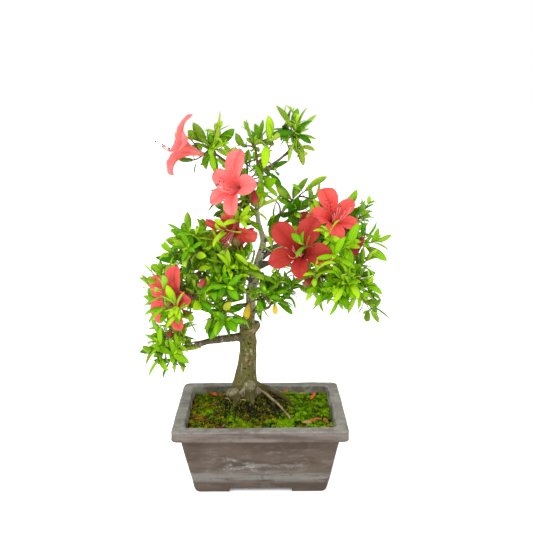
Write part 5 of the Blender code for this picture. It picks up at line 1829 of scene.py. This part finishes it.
class Growth:
    """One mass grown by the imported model's rule, then carried on to finer shoots."""

    fine_steps = 10
    shoot_shares = (0.28, 0.46, 0.64, 0.82)
    shoot_chance = 0.52
    shoot_lengths = (0.01, 0.024)
    throws = 24
    bloom_room = 0.009

    def __init__(self, space: Space, index: int, skeleton: Skeleton) -> None:
        """Grows the main twigs with the mass's own seed, then the side shoots.

        Args:
            space: the room to keep to.
            index: which mass.
            skeleton: the limbs.
        """
        self.space, self.index = space, index
        self.mass = MASSES[index]
        self.centre = np.array(self.mass.centre)
        self.start, self.heading = skeleton.stem_start(self.mass)
        self.rng = default_rng(self.mass.seed)
        sprays = self.plan()
        self.rng = default_rng(self.mass.seed + 9000)
        self.twigs: list[Twig] = []
        self.sprays: list[Spray] = []
        self.grow(sprays)
        self.shoot()
        self.veil()

    def spread(self) -> list[Array]:
        """Evenly spread ends for further sprays, each the loneliest of several throws.

        Returns:
            The ends.
        """
        chosen = [np.array(tip) for tip in self.mass.tips]
        ends: list[Array] = []
        for _ in range(self.mass.sprays):
            best, best_room = None, -1.0
            for _ in range(self.throws):
                throw = unit(self.rng.normal(size=3)) * self.rng.uniform(0.35, 0.8)
                place = self.centre + throw * np.array(self.mass.reach)
                test = place[None, :]
                if not (self.space.own_share(test, self.index) and self.space.off_limbs(test)
                        and self.space.off_blooms(test, self.bloom_room)):
                    continue
                room = min(norm(place - other) for other in chosen + ends)
                if room > best_room:
                    best, best_room = place, room
            if best is not None:
                ends.append(best)
        return ends

    def plan(self) -> list[Spray]:
        """Every twig end of the mass: reaching tips, blooms, buds and even fill.

        Returns:
            The sprays.
        """
        sprays = []
        for tip in self.mass.tips:
            heading = unit(np.array(tip) - self.centre)
            sprays.append(Spray(np.array(tip) - heading * TIP_LEAF_ROOM, heading, "tip"))
        for bloom in self.mass.blooms:
            sprays.append(Spray(bloom.ahead(0.0015), bloom.front, "bloom"))
        for bud in self.mass.buds:
            heading = unit(np.array(bud) - self.centre + np.array((0.0, -0.01, 0.01)))
            sprays.append(Spray(np.array(bud), heading, "bud"))
        for place in self.spread():
            heading = unit(unit(place - self.centre) + 0.35 * UPRIGHT)
            sprays.append(Spray(place, heading, "fill"))
        return sprays

    def add_twig(self, path: Array, low: float, high: float) -> None:
        """Keeps a fine path with a radius that tapers and wanders a little."""
        wobble = 1 + 0.1 * lattice_noise(path, 0.006, 400 + self.index)
        self.twigs.append(Twig(path, np.linspace(low, high, len(path)) * wobble))

    def grow(self, sprays: list[Spray]) -> None:
        """Lays a stem to the mass's heart, then a twig to each spray from where it is nearest.

        Args:
            sprays: the ends to reach.
        """
        inward = unit(self.centre - self.start)
        stem = cubic(self.start, self.heading, self.centre, inward, 3)
        rooted = self.start - self.heading * 0.0022
        self.add_twig(np.vstack((rooted, cubic(self.start, self.heading, self.centre, inward, 18))),
            STEM_RADIUS, 0.0013)
        nodes = []
        for k in range(1, 4):
            along = unit(stem[k] - stem[k - 1])
            nodes.append(Node(stem[k] - along * 0.0007, along, path_length(stem[:k + 1])))
        for spray in sorted(sprays, key=lambda item: norm(item.place - self.start)):
            base = min(nodes, key=lambda node: node.cost_to(spray.place))
            path = cubic(base.place, base.heading, spray.place, spray.heading, 2)
            along = chord_samples(path)
            if not self.space.own_share(along, self.index) or not self.space.off_limbs(along):
                continue
            if spray.kind != "bloom" and not self.space.off_blooms(along[6:], 0.003):
                continue
            base.children += 1
            nodes.append(Node(path[1], unit(path[2] - path[0]), base.travelled + path_length(path[:2])))
            fine = cubic(base.place, base.heading, spray.place, spray.heading, self.fine_steps)
            if spray.kind == "tip":
                fine = np.vstack((fine, spray.place + spray.heading * TIP_GROWTH))
                spray = Spray(fine[-1], spray.heading, "tip")
            self.add_twig(fine, 0.00125, 0.0006)
            self.sprays.append(spray)

    def shoot(self) -> None:
        """Carries each twig on to short side shoots that turn outward and up to the light."""
        rng = self.rng
        for twig in list(self.twigs):
            for share in self.shoot_shares:
                for _ in range(2):
                    if rng.random() > self.shoot_chance * self.mass.fullness:
                        continue
                    foot = int(share * (len(twig.points) - 1))
                    place = twig.points[foot]
                    along = unit(twig.points[foot + 1] - place)
                    side = unit(rng.normal(size=3))
                    side = unit(side - along * np.dot(side, along) + 0.25 * UPRIGHT)
                    outward = unit(place - self.centre + 1e-4)
                    heading = unit(0.65 * along + 0.85 * side + 0.3 * outward)
                    end = place + heading * rng.uniform(*self.shoot_lengths)
                    last = unit(heading + 0.35 * UPRIGHT)
                    tests = np.array((end, 0.5 * (place + end), end + last * 0.01))
                    if not (self.space.own_share(tests, self.index)
                            and self.space.off_limbs(tests[::2], 0.004)
                            and self.space.off_petals(tests[::2], 0.005)):
                        continue
                    path = cubic(place, unit(along + 0.5 * side), end, last, 6)
                    low = max(float(twig.radii[foot]) * 0.62, 0.00048)
                    self.add_twig(path, low, 0.00045)
                    self.sprays.append(Spray(end, last, "shoot"))

    def veil(self) -> None:
        """Brings a late shoot to each veil place from the nearest twig with a way clear of petals."""
        twigs = np.concatenate([twig.points for twig in self.twigs])
        for place in np.array(self.mass.veils).reshape(-1, 3):
            for foot in twigs[norm(twigs - place, axis=1).argsort()][:160:4]:
                last = unit(unit(place - foot) + 0.5 * UPRIGHT)
                path = cubic(foot, unit(place - foot), place, last, 8)
                if self.space.off_petals(chord_samples(path), 0.0022) and self.space.off_limbs(path[1:]):
                    self.add_twig(path, 0.00085, 0.0005)
                    self.sprays.append(Spray(place, last, "veil"))
                    break


# ---- leaves


# Leaf tints, brightest first. Young leaves take the brightest; the others are dealt out by their spray's
# place as painted light and shade: brighter to the top and front, deeper inside the crown.
LEAF_TINTS = (
    LeafTint("leaf_bright", (0.33, 0.6, 0.004), (0.46, 0.7, 0.03), (0.38, 0.54, 0.045)),
    LeafTint("leaf_fresh", (0.19, 0.45, 0.002), (0.31, 0.58, 0.012), (0.3, 0.48, 0.03)),
    LeafTint("leaf_mid", (0.095, 0.31, 0.001), (0.19, 0.46, 0.008), (0.2, 0.38, 0.02)),
    LeafTint("leaf_deep", (0.036, 0.165, 0.001), (0.1, 0.29, 0.006), (0.12, 0.25, 0.015)),
)
YELLOW = LeafTint("leaf_yellow", (0.8, 0.5, 0.02), (0.85, 0.62, 0.1), (0.7, 0.42, 0.04))
YELLOW_GREEN = LeafTint("leaf_turning", (0.46, 0.5, 0.03), (0.6, 0.62, 0.1), (0.44, 0.45, 0.08))


@dataclass
class Leaves:
    """Many leaves as arrays: root, heading, the way the face looks, length, width and shape."""

    roots: Array
    headings: Array
    upwards: Array
    lengths: Array
    widths: Array
    bends: Array
    folds: Array
    twists: Array

    def chosen(self, keep: Array) -> "Leaves":
        """Some of the leaves."""
        return Leaves(*(getattr(self, name)[keep] for name in self.__dataclass_fields__))

    def surface(self) -> Array:
        """Closed blades, (n, 9 rows, 8 columns, 3).

        The midrib is an arc that bends down by its angle. The half width goes as
        (4 s (1 - s)) to the power 0.85 along it, the two halves fold up from the midrib, the blade
        turns with the twist, and the columns run under the blade and back over it.

        Returns:
            Points (n, 9, 8, 3).
        """
        s = np.array((0.0, 0.07, 0.18, 0.33, 0.5, 0.66, 0.81, 0.93, 1.0))
        side = np.array((1.0, 0.55, 0.0, -0.55, -1.0, -0.55, 0.0, 0.55))
        face = np.array((0.0, -1.0, -1.0, -1.0, 0.0, 1.0, 1.0, 1.0))
        half = np.maximum((4 * s * (1 - s)) ** 0.85 * (1 + 0.3 * (s - 0.5)), 0.09 * (1 - s) + 0.012)
        bend = np.where(np.abs(self.bends) < 0.02, 0.02, self.bends)[:, None]
        along = self.lengths[:, None] * np.sin(bend * s) / bend
        drop = self.lengths[:, None] * (1 - np.cos(bend * s)) / bend
        across = unit(np.cross(self.headings, self.upwards))
        lift = np.cross(across, self.headings)
        ahead, lift = self.headings[:, None], lift[:, None]
        rib = self.roots[:, None] + along[..., None] * ahead - drop[..., None] * lift
        up_here = np.cos(bend * s)[..., None] * lift + np.sin(bend * s)[..., None] * ahead
        turn = self.twists[:, None] * s
        out = (np.cos(turn)[..., None] * across[:, None] + np.sin(turn)[..., None] * up_here)
        up = (np.cos(turn)[..., None] * up_here - np.sin(turn)[..., None] * across[:, None])
        wide = 0.5 * self.widths[:, None] * half
        fold = self.folds[:, None, None]
        reach = wide[..., None] * side * np.cos(fold)
        rise = wide[..., None] * np.abs(side) ** 1.3 * np.sin(fold) + 0.00017 * face
        return rib[:, :, None] + reach[..., None] * out[:, :, None] + rise[..., None] * up[:, :, None]

    def shape(self) -> Shape:
        """All the blades, their pattern running once under and once over."""
        return grids(self.surface(), turns=2.0)


class Foliage:
    """Rosettes of leaves on every shoot, each leaf kept off limbs, petals, twigs and other leaves."""

    length = 0.026
    lead_length = 0.029
    young_lengths = (0.008, 0.013)
    gap = 0.0019
    young_gap = 0.0008

    def __init__(self, space: Space) -> None:
        """Starts with no leaves.

        Args:
            space: the room to keep to.
        """
        self.space = space
        self.rows: list[tuple] = []
        self.shades: list[int] = []

    def dress(self, growth: Growth) -> None:
        """Sets a rosette on each shoot, each leaf turned by the golden angle from the last.

        Args:
            growth: the mass that bears them.
        """
        rng = growth.rng
        taken = np.concatenate([twig.points for twig in growth.twigs])
        for spray in growth.sprays:
            if spray.kind in ("bud", "bloom"):
                continue
            most = 3.1 + 3.9 * growth.mass.fullness
            count = int(rng.uniform(0.6, 1.0) * most) + (spray.kind != "shoot") + (spray.kind == "veil")
            start = rng.uniform(0, TAU)
            size = rng.uniform(0.8, 1.1) * (1.0 if spray.kind != "shoot" else 0.86)
            # tint from the spray's place in the mass: painted light and shade
            painted_light_tint = self.light(growth, spray)
            veil = spray.kind == "veil"
            for place in range(count + 2):
                young = place >= count
                for attempt in range(4):
                    row = self.leaf(spray, place, count, start + attempt * 0.9, size, young, rng)
                    points = self.tests(row)
                    if not (self.space.inside(points) and self.space.off_limbs(points[1:], 0.0012)
                            and self.space.off_petals(points, 0.0022 if veil else 0.0036)):
                        continue
                    if not veil and self.space.hides(points):
                        continue
                    if spray.kind not in ("tip", "veil") and not self.space.own_share(
                            points[2:3], growth.index):
                        continue
                    gap = norm(points[1:, None, :] - taken, axis=2).min()
                    if gap > (self.young_gap if young else self.gap):
                        self.rows.append(row)
                        self.shades.append(0 if young else painted_light_tint)
                        taken = np.concatenate((taken, points[1:]))
                        break

    def light(self, growth: Growth, spray: Spray) -> int:
        """Which tint a spray's leaves have, as painted light and shade: brighter to the top and front,
        deeper inside, with a random spread.

        Args:
            growth: the mass.
            spray: the shoot.

        Returns:
            The tint's number.
        """
        off = (spray.place - growth.centre) / np.array(growth.mass.reach)
        # higher, further forward and further out reads brighter (painted light), further in reads deeper
        # (painted shade), plus a random spread
        level = 0.55 * off[2] - 0.25 * off[1] + 0.35 * (norm(off) - 0.6) + growth.rng.normal(0, 0.34)
        return 3 - int(np.searchsorted((-0.42, -0.02, 0.4), level))

    def leaf(self, spray: Spray, place: int, count: int, start: float, size: float, young: bool,
            rng: Generator) -> tuple:
        """One leaf: the lead ones nearly straight on, the rest fanned out further down the shoot.

        Args:
            spray: the shoot.
            place: which leaf, counted from the end.
            count: how many grown leaves it bears.
            start: where the first leaf stands round it.
            size: share of the usual length.
            young: whether it is a small new leaf.
            rng: source of random draws.

        Returns:
            One row for the arrays of leaves.
        """
        turn = start + place * GOLDEN_ANGLE
        first, second = side_axes(spray.heading)
        share = place / max(count - 1, 1)
        tilt = math.radians(24.0 + 58.0 * share + rng.normal(0, 16))
        length = self.length * size * rng.uniform(0.66, 1.12)
        if young:
            tilt, length = math.radians(rng.uniform(6, 26)), rng.uniform(*self.young_lengths)
        lead = spray.kind == "tip" and place == 0
        if lead:
            tilt, length = 0.0, self.lead_length
        outward = first * math.cos(turn) + second * math.sin(turn)
        heading = spray.heading * math.cos(tilt) + outward * math.sin(tilt)
        upward = spray.heading * math.sin(tilt) - outward * math.cos(tilt) + 0.55 * UPRIGHT
        upward = upward + rng.normal(0, 0.3, 3)
        root = spray.place - spray.heading * (0.001 + (0.0 if young else 0.0021 * place))
        return (root, heading, upward, length, length * rng.uniform(0.29, 0.42),
            0.05 if lead else rng.uniform(0.05, 0.85),
            math.radians(rng.uniform(8, 30)), rng.normal(0, 0.25))

    def tests(self, row: tuple) -> Array:
        """Points along a leaf's bent midrib and at its widest, for the clearance tests.

        Args:
            row: the leaf.

        Returns:
            Points (6, 3).
        """
        root, heading, upward, length, width, bend = row[:6]
        across = unit(np.cross(heading, upward))
        lift = np.cross(across, heading)
        s = np.array((0.12, 0.45, 0.7, 1.0))[:, None]
        drop = lift * length * (1 - np.cos(bend * s)) / bend
        rib = root + heading * length * np.sin(bend * s) / bend - drop
        return np.concatenate((rib, rib[1:2] + across * width / 2, rib[1:2] - across * width / 2))

    def build(self) -> None:
        """Builds one or more pieces for each tint."""
        leaves = Leaves(*(np.array([row[k] for row in self.rows]) for k in range(8)))
        shades = np.array(self.shades)
        LOG.info("%d leaves", len(shades))
        for number, tint in enumerate(LEAF_TINTS):
            piece(tint.name.replace("leaf", "leaves"), [leaves.chosen(shades == number).shape()],
                tint.material(), FOLIAGE)


# ---- flowers


class Part(Enum):
    """The small parts of flowers, buds and litter, with their colours."""

    FILAMENT = PlainTint("filament", (0.88, 0.22, 0.22), (0.8, 0.34, 0.32), 0.5, 200.0, 0.0001)
    ANTHER = PlainTint("anther", (0.15, 0.03, 0.032), (0.3, 0.12, 0.09), 0.8, 600.0, 0.0002)
    CALYX = PlainTint("calyx", (0.15, 0.29, 0.03), (0.24, 0.2, 0.05), 0.6, 260.0, 0.0002)
    SCALE = PlainTint("bud_scale", (0.34, 0.19, 0.09), (0.16, 0.2, 0.04), 0.7, 300.0, 0.0003)
    BUD = PetalTint("bud_red", (0.55, 0.14, 0.1), (0.42, 0.02, 0.034),
        (0.33, 0.01, 0.022), (0.66, 0.2, 0.2))
    HALF_OPEN = PetalTint("bud_opening", (0.62, 0.06, 0.06), (0.62, 0.03, 0.034),
        (0.7, 0.06, 0.06), (0.34, 0.008, 0.016))
    TWIG = BarkTint("twig", (0.155, 0.1, 0.055), (0.07, 0.04, 0.026), (0.27, 0.2, 0.12),
        (0.13, 0.12, 0.045), (0.17, 0.11, 0.065), 0.2)


@dataclass(frozen=True)
class Flowers:
    """Every open bloom: ruffled petals with a skin, stamens, a pistil and a calyx."""

    rows: int = 28
    columns: int = 24
    skin: float = 0.0005
    stamens: int = 6
    stamen_lengths: tuple[float, float] = (0.036, 0.047)
    pistil_length: float = 0.055

    def stamen_paths(self, bloom: Bloom, seed: int) -> tuple[Array, Array]:
        """Filaments that leave the tube together, spread and curve up, and the pistil among them.

        Args:
            bloom: the flower.
            seed: which spread.

        Returns:
            The paths and their last headings.
        """
        rng = default_rng(seed + 50)
        facing = bloom.front
        first, second = side_axes(facing)
        count = self.stamens + 1
        start = bloom.ahead(0.004) + 0.0006 * rng.normal(size=(count, 3))
        spread = (np.linspace(-0.0075, 0.0075, count)[:, None] * first
            + rng.normal(0, 0.0022, (count, 1)) * second)
        length = rng.uniform(*self.stamen_lengths, count)
        length[-1] = self.pistil_length
        room = (REACH_Y - abs(bloom.place[1])) / max(abs(facing[1]), 0.1)
        length *= min(room * 0.96 / self.pistil_length, 1.0)
        end = bloom.ahead(length) + spread - 0.0015 * second
        leaving = unit(facing - 0.16 * second + spread * 14)
        arriving = unit(facing * 0.75 + second * 0.62 + spread * 20)
        return cubic_paths(start, leaving, end, arriving, 12), arriving

    def build(self) -> None:
        """Builds the petals by colour, then the filaments, anthers and calyxes."""
        blooms = [bloom for mass in MASSES for bloom in mass.blooms]
        for look in Petals:
            shapes = [grids(petal_surface(bloom, FIRST_BLOOM + number, self.rows, self.columns)[None],
                caps=False, turns=5.0) for number, bloom in enumerate(blooms) if bloom.petals is look]
            item = piece(look.value.name.replace("petal", "petals"), shapes, look.value.material(), FOLIAGE)
            skin = item.modifiers.new("skin", "SOLIDIFY")
            skin.thickness, skin.offset = self.skin, 0.0
        filaments, anthers, cups = [], [], []
        for number, bloom in enumerate(blooms):
            paths, arriving = self.stamen_paths(bloom, FIRST_BLOOM + number)
            radii = np.linspace(0.0005, 0.00036, paths.shape[1])[None].repeat(len(paths), 0)
            filaments.append(grids(tube_points(paths, radii, 6)))
            anthers.append(grains(paths[:, -1], arriving, 0.0021, 0.0008))
            cups.append(calyx_shape(bloom.ahead(-0.001), bloom.front))
        for name, shapes, part in (("filaments", filaments, Part.FILAMENT),
                ("anthers", anthers, Part.ANTHER), ("calyxes", cups, Part.CALYX)):
            piece(name, shapes, part.value.material(), FOLIAGE)


def spindles(bases: Array, headings: Array, lengths: Array, profile: Array, sides: int,
        pleats: tuple[int, float, float] = (0, 0.0, 0.0)) -> Array:
    """Spindles whose radius follows a profile, with pleats that wind round them.

    Args:
        bases: (n, 3) first points.
        headings: (n, 3) unit headings.
        lengths: (n,) lengths.
        profile: (rows, 2) share of the length and radius in metres.
        sides: points in a ring.
        pleats: how many, how deep as a share, and how far they wind in turns.

    Returns:
        (n, rows, sides, 3).
    """
    helper = np.where(np.abs(headings[:, 2:]) < 0.9, UPRIGHT, (1.0, 0.0, 0.0))
    spokes = ring_spokes(headings, helper, sides)[:, None]
    share, radius = profile[:, 0], profile[:, 1]
    angles = np.arange(sides) * TAU / sides
    wave = 1 + pleats[1] * np.cos(pleats[0] * angles[None] + TAU * pleats[2] * share[:, None])
    width = (radius[:, None] * wave)[None, ..., None]
    centres = bases[:, None] + headings[:, None] * (lengths[:, None] * share)[..., None]
    return centres[:, :, None] + width * spokes


def grains(places: Array, headings: Array, length: float, radius: float) -> Shape:
    """Small closed ovals centred on places.

    Args:
        places: their middles, (n, 3).
        headings: unit headings, (n, 3).
        length: their length.
        radius: their radius.

    Returns:
        The shape.
    """
    share = np.linspace(0.0, 1.0, 6)
    profile = np.column_stack((share, radius * np.sqrt(np.maximum(4 * share * (1 - share), 0.02))))
    lengths = np.full(len(places), length)
    return grids(spindles(places - headings * length / 2, headings, lengths, profile, 7))


def calyx_shape(base: Array, heading: Array) -> Shape:
    """A small closed cup that a tube or bud sits in.

    Args:
        base: its foot.
        heading: its unit heading.

    Returns:
        The shape.
    """
    profile = np.array(((0.0, 0.0007), (0.12, 0.0014), (0.35, 0.0023), (0.7, 0.0028), (1.0, 0.0031),
        (1.0, 0.0024), (0.6, 0.0017)))
    return grids(spindles(base[None], heading[None], np.array((0.0052,)), profile, 15, (5, 0.1, 0.0)))


@dataclass(frozen=True)
class BudPlan:
    """A bud from its base to its tip, with its greatest radius."""

    base: Point
    tip: Point
    radius: float
    part: Part = Part.BUD


BUDS = (
    BudPlan((0.0975, -0.034, 0.2729), (0.1159, -0.04, 0.3008), 0.0052),
    BudPlan((0.049, -0.052, 0.2479), (0.0587, -0.052, 0.258), 0.0042),
    BudPlan((-0.0651, -0.058, 0.2489), (-0.0573, -0.058, 0.2578), 0.004),
    BudPlan((-0.004, -0.034, 0.3336), (-0.005, -0.034, 0.3511), 0.0044),
    BudPlan((0.0594, -0.03, 0.3061), (0.0593, -0.03, 0.3128), 0.0032),
    BudPlan((-0.1062, -0.02, 0.1787), (-0.1013, -0.02, 0.1884), 0.0034),
    BudPlan((-0.0289, -0.03, 0.2908), (-0.0056, -0.02, 0.307), 0.0072, Part.HALF_OPEN),
)


@dataclass(frozen=True)
class Drooper:
    """A single old leaf that hangs: where its stalk joins, its tip and its tint."""

    root: Point
    tip: Point
    width: float
    tint: LeafTint


DROOPERS = (
    Drooper((-0.0122, -0.012, 0.218), (-0.0177, -0.012, 0.1951), 0.009, YELLOW),
    Drooper((0.0176, -0.03, 0.2228), (0.0175, -0.03, 0.2075), 0.0068, YELLOW),
    Drooper((-0.0305, -0.05, 0.23), (-0.04, -0.052, 0.221), 0.0092, YELLOW_GREEN),
)


@dataclass(frozen=True)
class Hangers:
    """Buds and old leaves, each on a stalk from the nearest twig, and the twigs themselves."""

    growths: tuple[Growth, ...]

    def nearest(self, place: Array) -> Array:
        """The twig point nearest to a place."""
        points = np.concatenate([twig.points for growth in self.growths for twig in growth.twigs])
        return points[norm(points - place, axis=1).argmin()]

    def stalk(self, base: Array, heading: Array) -> Twig:
        """A thin stalk from the nearest twig to a base."""
        start = self.nearest(base - heading * 0.006)
        return Twig(cubic(start, unit(base - start + 1e-5), base, heading, 8), np.full(9, 0.00062))

    def build(self) -> None:
        """Builds buds, their scales, hanging leaves and one piece with every twig and stalk."""
        stalks, scales = [], []
        shapes: dict[Part, list[Shape]] = {Part.BUD: [], Part.HALF_OPEN: []}
        for bud in BUDS:
            base, tip = np.array(bud.base), np.array(bud.tip)
            heading, length = unit(tip - base), float(norm(tip - base))
            share = np.linspace(0.0, 1.0, 18)
            belly = np.sin(math.pi * share ** 0.85) ** 0.8 * (1 - 0.25 * share) + 0.06
            profile = np.column_stack((share, bud.radius * np.where(share > 0.97, 0.05, belly)))
            shapes[bud.part].append(grids(spindles(base[None], heading[None], np.array((length,)),
                profile, 30, (5, 0.09, 0.55)), turns=5.0))
            cup = np.column_stack((np.linspace(0, 1, 8),
                bud.radius * np.array((0.22, 0.5, 0.78, 0.95, 1.02, 0.98, 0.92, 0.8))))
            scales.append(grids(spindles((base - heading * length * 0.05)[None], heading[None],
                np.array((length * 0.3,)), cup, 20, (5, 0.08, 0.2))))
            stalks.append(self.stalk(base, heading))
        for part, name in ((Part.BUD, "buds_red"), (Part.HALF_OPEN, "bud_opening")):
            piece(name, shapes[part], part.value.material(), FOLIAGE)
        piece("bud_scales", scales, Part.SCALE.value.material(), FOLIAGE)
        for number, old in enumerate(DROOPERS):
            root, tip = np.array(old.root), np.array(old.tip)
            heading, length = unit(tip - root), float(norm(tip - root))
            leaf = Leaves(root[None], heading[None], np.array(((-0.15, -0.95, 0.1),)), np.array((length,)),
                np.array((old.width,)), np.array((0.5,)), np.array((0.35,)), np.array((0.2,)))
            material = bpy.data.materials.get(old.tint.name) or old.tint.material()
            piece(f"leaf_old_{number}", [leaf.shape()], material, FOLIAGE)
            stalks.append(self.stalk(root, -UPRIGHT))
        self.build_twigs(stalks)

    def build_twigs(self, stalks: list[Twig]) -> None:
        """Builds every twig and stalk as one piece, the twigs grouped by their number of points.

        Args:
            stalks: the stalks of buds and old leaves.
        """
        twigs = [twig for growth in self.growths for twig in growth.twigs] + stalks
        shapes = []
        for count in sorted({len(twig.points) for twig in twigs}):
            same = [twig for twig in twigs if len(twig.points) == count]
            paths = np.array([twig.points for twig in same])
            shapes.append(grids(tube_points(paths, np.array([twig.radii for twig in same]), 7)))
        piece("twigs", shapes, Part.TWIG.value.material(), FOLIAGE, *(mass.name for mass in MASSES))


@dataclass(frozen=True)
class Litter:
    """Dry leaves and petals that lie curled on the moss."""

    bed: MossBed
    places: tuple[tuple[float, float, float, float], ...] = ((-0.0666, 0.053, 0.0125, 0.2),
        (-0.06, 0.051, 0.012, -0.3), (-0.0475, 0.056, 0.011, 0.1), (-0.0727, -0.0224, 0.012, -0.2),
        (-0.0683, -0.0182, 0.01, 0.9), (-0.0105, -0.0539, 0.0115, -0.7), (-0.007, -0.0552, 0.009, 0.3),
        (0.0547, -0.0323, 0.012, 0.1), (0.062, -0.0283, 0.012, 0.5), (0.067, -0.0242, 0.011, -0.2),
        (0.0313, 0.0484, 0.011, 0.0), (0.0653, 0.0382, 0.011, 1.2), (0.0685, 0.0478, 0.01, 1.6),
        (0.0534, 0.0546, 0.01, 0.4), (0.0776, -0.0512, 0.011, 0.8), (-0.0319, 0.0239, 0.009, 0.2),
        (-0.0394, 0.0, 0.012, -0.5), (-0.0795, -0.0594, 0.01, 0.1), (-0.0729, -0.0569, 0.008, 0.9),
        (0.0767, -0.0353, 0.01, 2.1), (-0.0209, -0.009, 0.008, -0.4), (-0.0485, 0.0303, 0.01, 0.3),
        (-0.056, 0.012, 0.008, 1.1), (0.048, 0.03, 0.008, 2.0), (-0.012, 0.056, 0.008, 0.6),
        (0.02, -0.048, 0.006, 0.4), (-0.042, -0.042, 0.006, 1.0))

    def build(self) -> None:
        """Builds the litter in three tints."""
        rng = default_rng(73)
        data = np.array(self.places)
        length, angle = data[:, 2], data[:, 3]
        heading = unit(np.column_stack((np.cos(angle), np.sin(angle), rng.uniform(0.0, 0.25, len(data)))))
        middle = data[:, :2]
        height = self.bed.top(middle[:, 0], middle[:, 1]) + 0.0022
        roots = np.column_stack((middle, height)) - heading * (length / 2)[:, None]
        tints = (PlainTint("litter_orange", (0.62, 0.17, 0.03), (0.36, 0.1, 0.03), 0.7, 150.0),
            PlainTint("litter_tan", (0.52, 0.33, 0.14), (0.34, 0.18, 0.07), 0.75, 150.0),
            PlainTint("litter_brown", (0.22, 0.085, 0.028), (0.4, 0.18, 0.06), 0.75, 150.0))
        which = np.array((0, 0, 2, 0, 2, 1, 1, 1, 0, 0, 0, 0, 0, 1, 2, 1, 1, 1, 0, 2, 1, 0, 2, 1, 2, 2, 1))
        for number, tint in enumerate(tints):
            keep = which == number
            count = int(keep.sum())
            leaves = Leaves(roots[keep], heading[keep], np.tile((0.05, -0.1, 1.0), (count, 1)),
                length[keep], length[keep] * rng.uniform(0.36, 0.55, count), rng.uniform(-0.9, 1.0, count),
                rng.uniform(0.3, 0.9, count), rng.normal(0, 0.8, count))
            piece(tint.name, [leaves.shape()], tint.material(), "moss")


# ---- stage


def build_stage() -> None:
    """A pale floor that glows but for a painted shadow under the pot, a soft even sky and two large soft
    lamps, one a little stronger.
    """
    floor = grids(np.array([[[(x, y, -0.0004) for x in (-9.0, 9.0)] for y in (-6.0, 12.0)]]),
        ring=False, caps=False)
    finish = Finish("studio_floor", 0.9, (0.97, 0.97, 0.97))
    finish.coat((0.96, 0.96, 0.96), 1.0, finish.mottle(1.5, 0.2, 0.8))
    finish.shader.inputs["Emission Color"].default_value = (1.0, 1.0, 1.0, 1.0)
    # The floor glows to stay evenly white, but the glow fades out under the pot's footprint: a painted
    # shadow.
    out = [finish.ease(finish.maths("ABSOLUTE", finish.axis(letter)), low, high)
        for letter, low, high in (("X", 0.06, 0.082), ("Y", 0.038, 0.056))]
    finish.feed("Emission Strength", finish.times(finish.maths("MAXIMUM", *out), 0.55))
    material = finish.done(finish.grain(3.0, 40.0, 0.2), 0.0001)
    mesh_object("studio_floor", floor, material)
    world = bpy.data.worlds.new("studio")
    world.use_nodes = True
    world.node_tree.nodes["Background"].inputs["Color"].default_value = (1.0, 1.0, 1.0, 1.0)
    world.node_tree.nodes["Background"].inputs["Strength"].default_value = 1.0
    bpy.context.scene.world = world
    for name, place, aim, size, power in (("key", (-1.1, -1.5, 1.9), (0.0, 0.0, 0.24), 0.9, 26.0),
            ("fill", (1.6, -1.1, 1.1), (0.0, 0.0, 0.22), 1.4, 7.0)):
        light = bpy.data.lights.new(name, "AREA")
        light.size, light.energy = size, power
        lamp = bpy.data.objects.new(name, light)
        heading = unit(np.array(place) - np.array(aim))
        first, second = side_axes(heading)
        turn = Matrix((first, second, heading)).transposed().to_4x4()
        lamp.matrix_world = Matrix.Translation(place) @ turn
        bpy.context.scene.collection.objects.link(lamp)


def build_camera() -> None:
    """The view from the front and a little above, level but for a hair's turn."""
    pitch, yaw, roll = 0.2177, 0.0018, -0.0049
    focal, frame_width, sensor = 700.0, 533.0, 36.0
    forward = np.array((math.sin(yaw) * math.cos(pitch), math.cos(yaw) * math.cos(pitch), -math.sin(pitch)))
    right = np.array((math.cos(yaw), -math.sin(yaw), 0.0))
    up = np.cross(right, forward)
    right, up = (math.cos(roll) * right + math.sin(roll) * up, math.cos(roll) * up - math.sin(roll) * right)
    lens = bpy.data.cameras.new("front")
    lens.lens, lens.sensor_width = sensor * focal / frame_width, sensor
    camera = bpy.data.objects.new("front", lens)
    camera.matrix_world = Matrix.Translation(CAMERA_PLACE) @ Matrix(
        (right, up, -forward)).transposed().to_4x4()
    bpy.context.scene.collection.objects.link(camera)
    bpy.context.scene.camera = camera


def main() -> None:
    """Builds the pot, the moss, the wood, then the twigs, leaves and flowers, and the studio."""
    logging.basicConfig(level=logging.INFO, format="%(name)s: %(message)s")
    pot = Pot()
    pot.build()
    bed = MossBed(pot)
    bed.build_bed()
    bed.build_tufts()
    Litter(bed).build()
    skeleton = Skeleton()
    wood = Wood(skeleton)
    wood.build_trunk()
    wood.build_boughs()
    wood.build_roots()
    space = Space(skeleton)
    growths = tuple(Growth(space, index, skeleton) for index in range(len(MASSES)))
    foliage = Foliage(space)
    for growth in growths:
        foliage.dress(growth)
    foliage.build()
    Hangers(growths).build()
    Flowers().build()
    build_stage()
    build_camera()
    bpy.context.scene.view_settings.view_transform = "Standard"


if __name__ == "__main__":
    main()
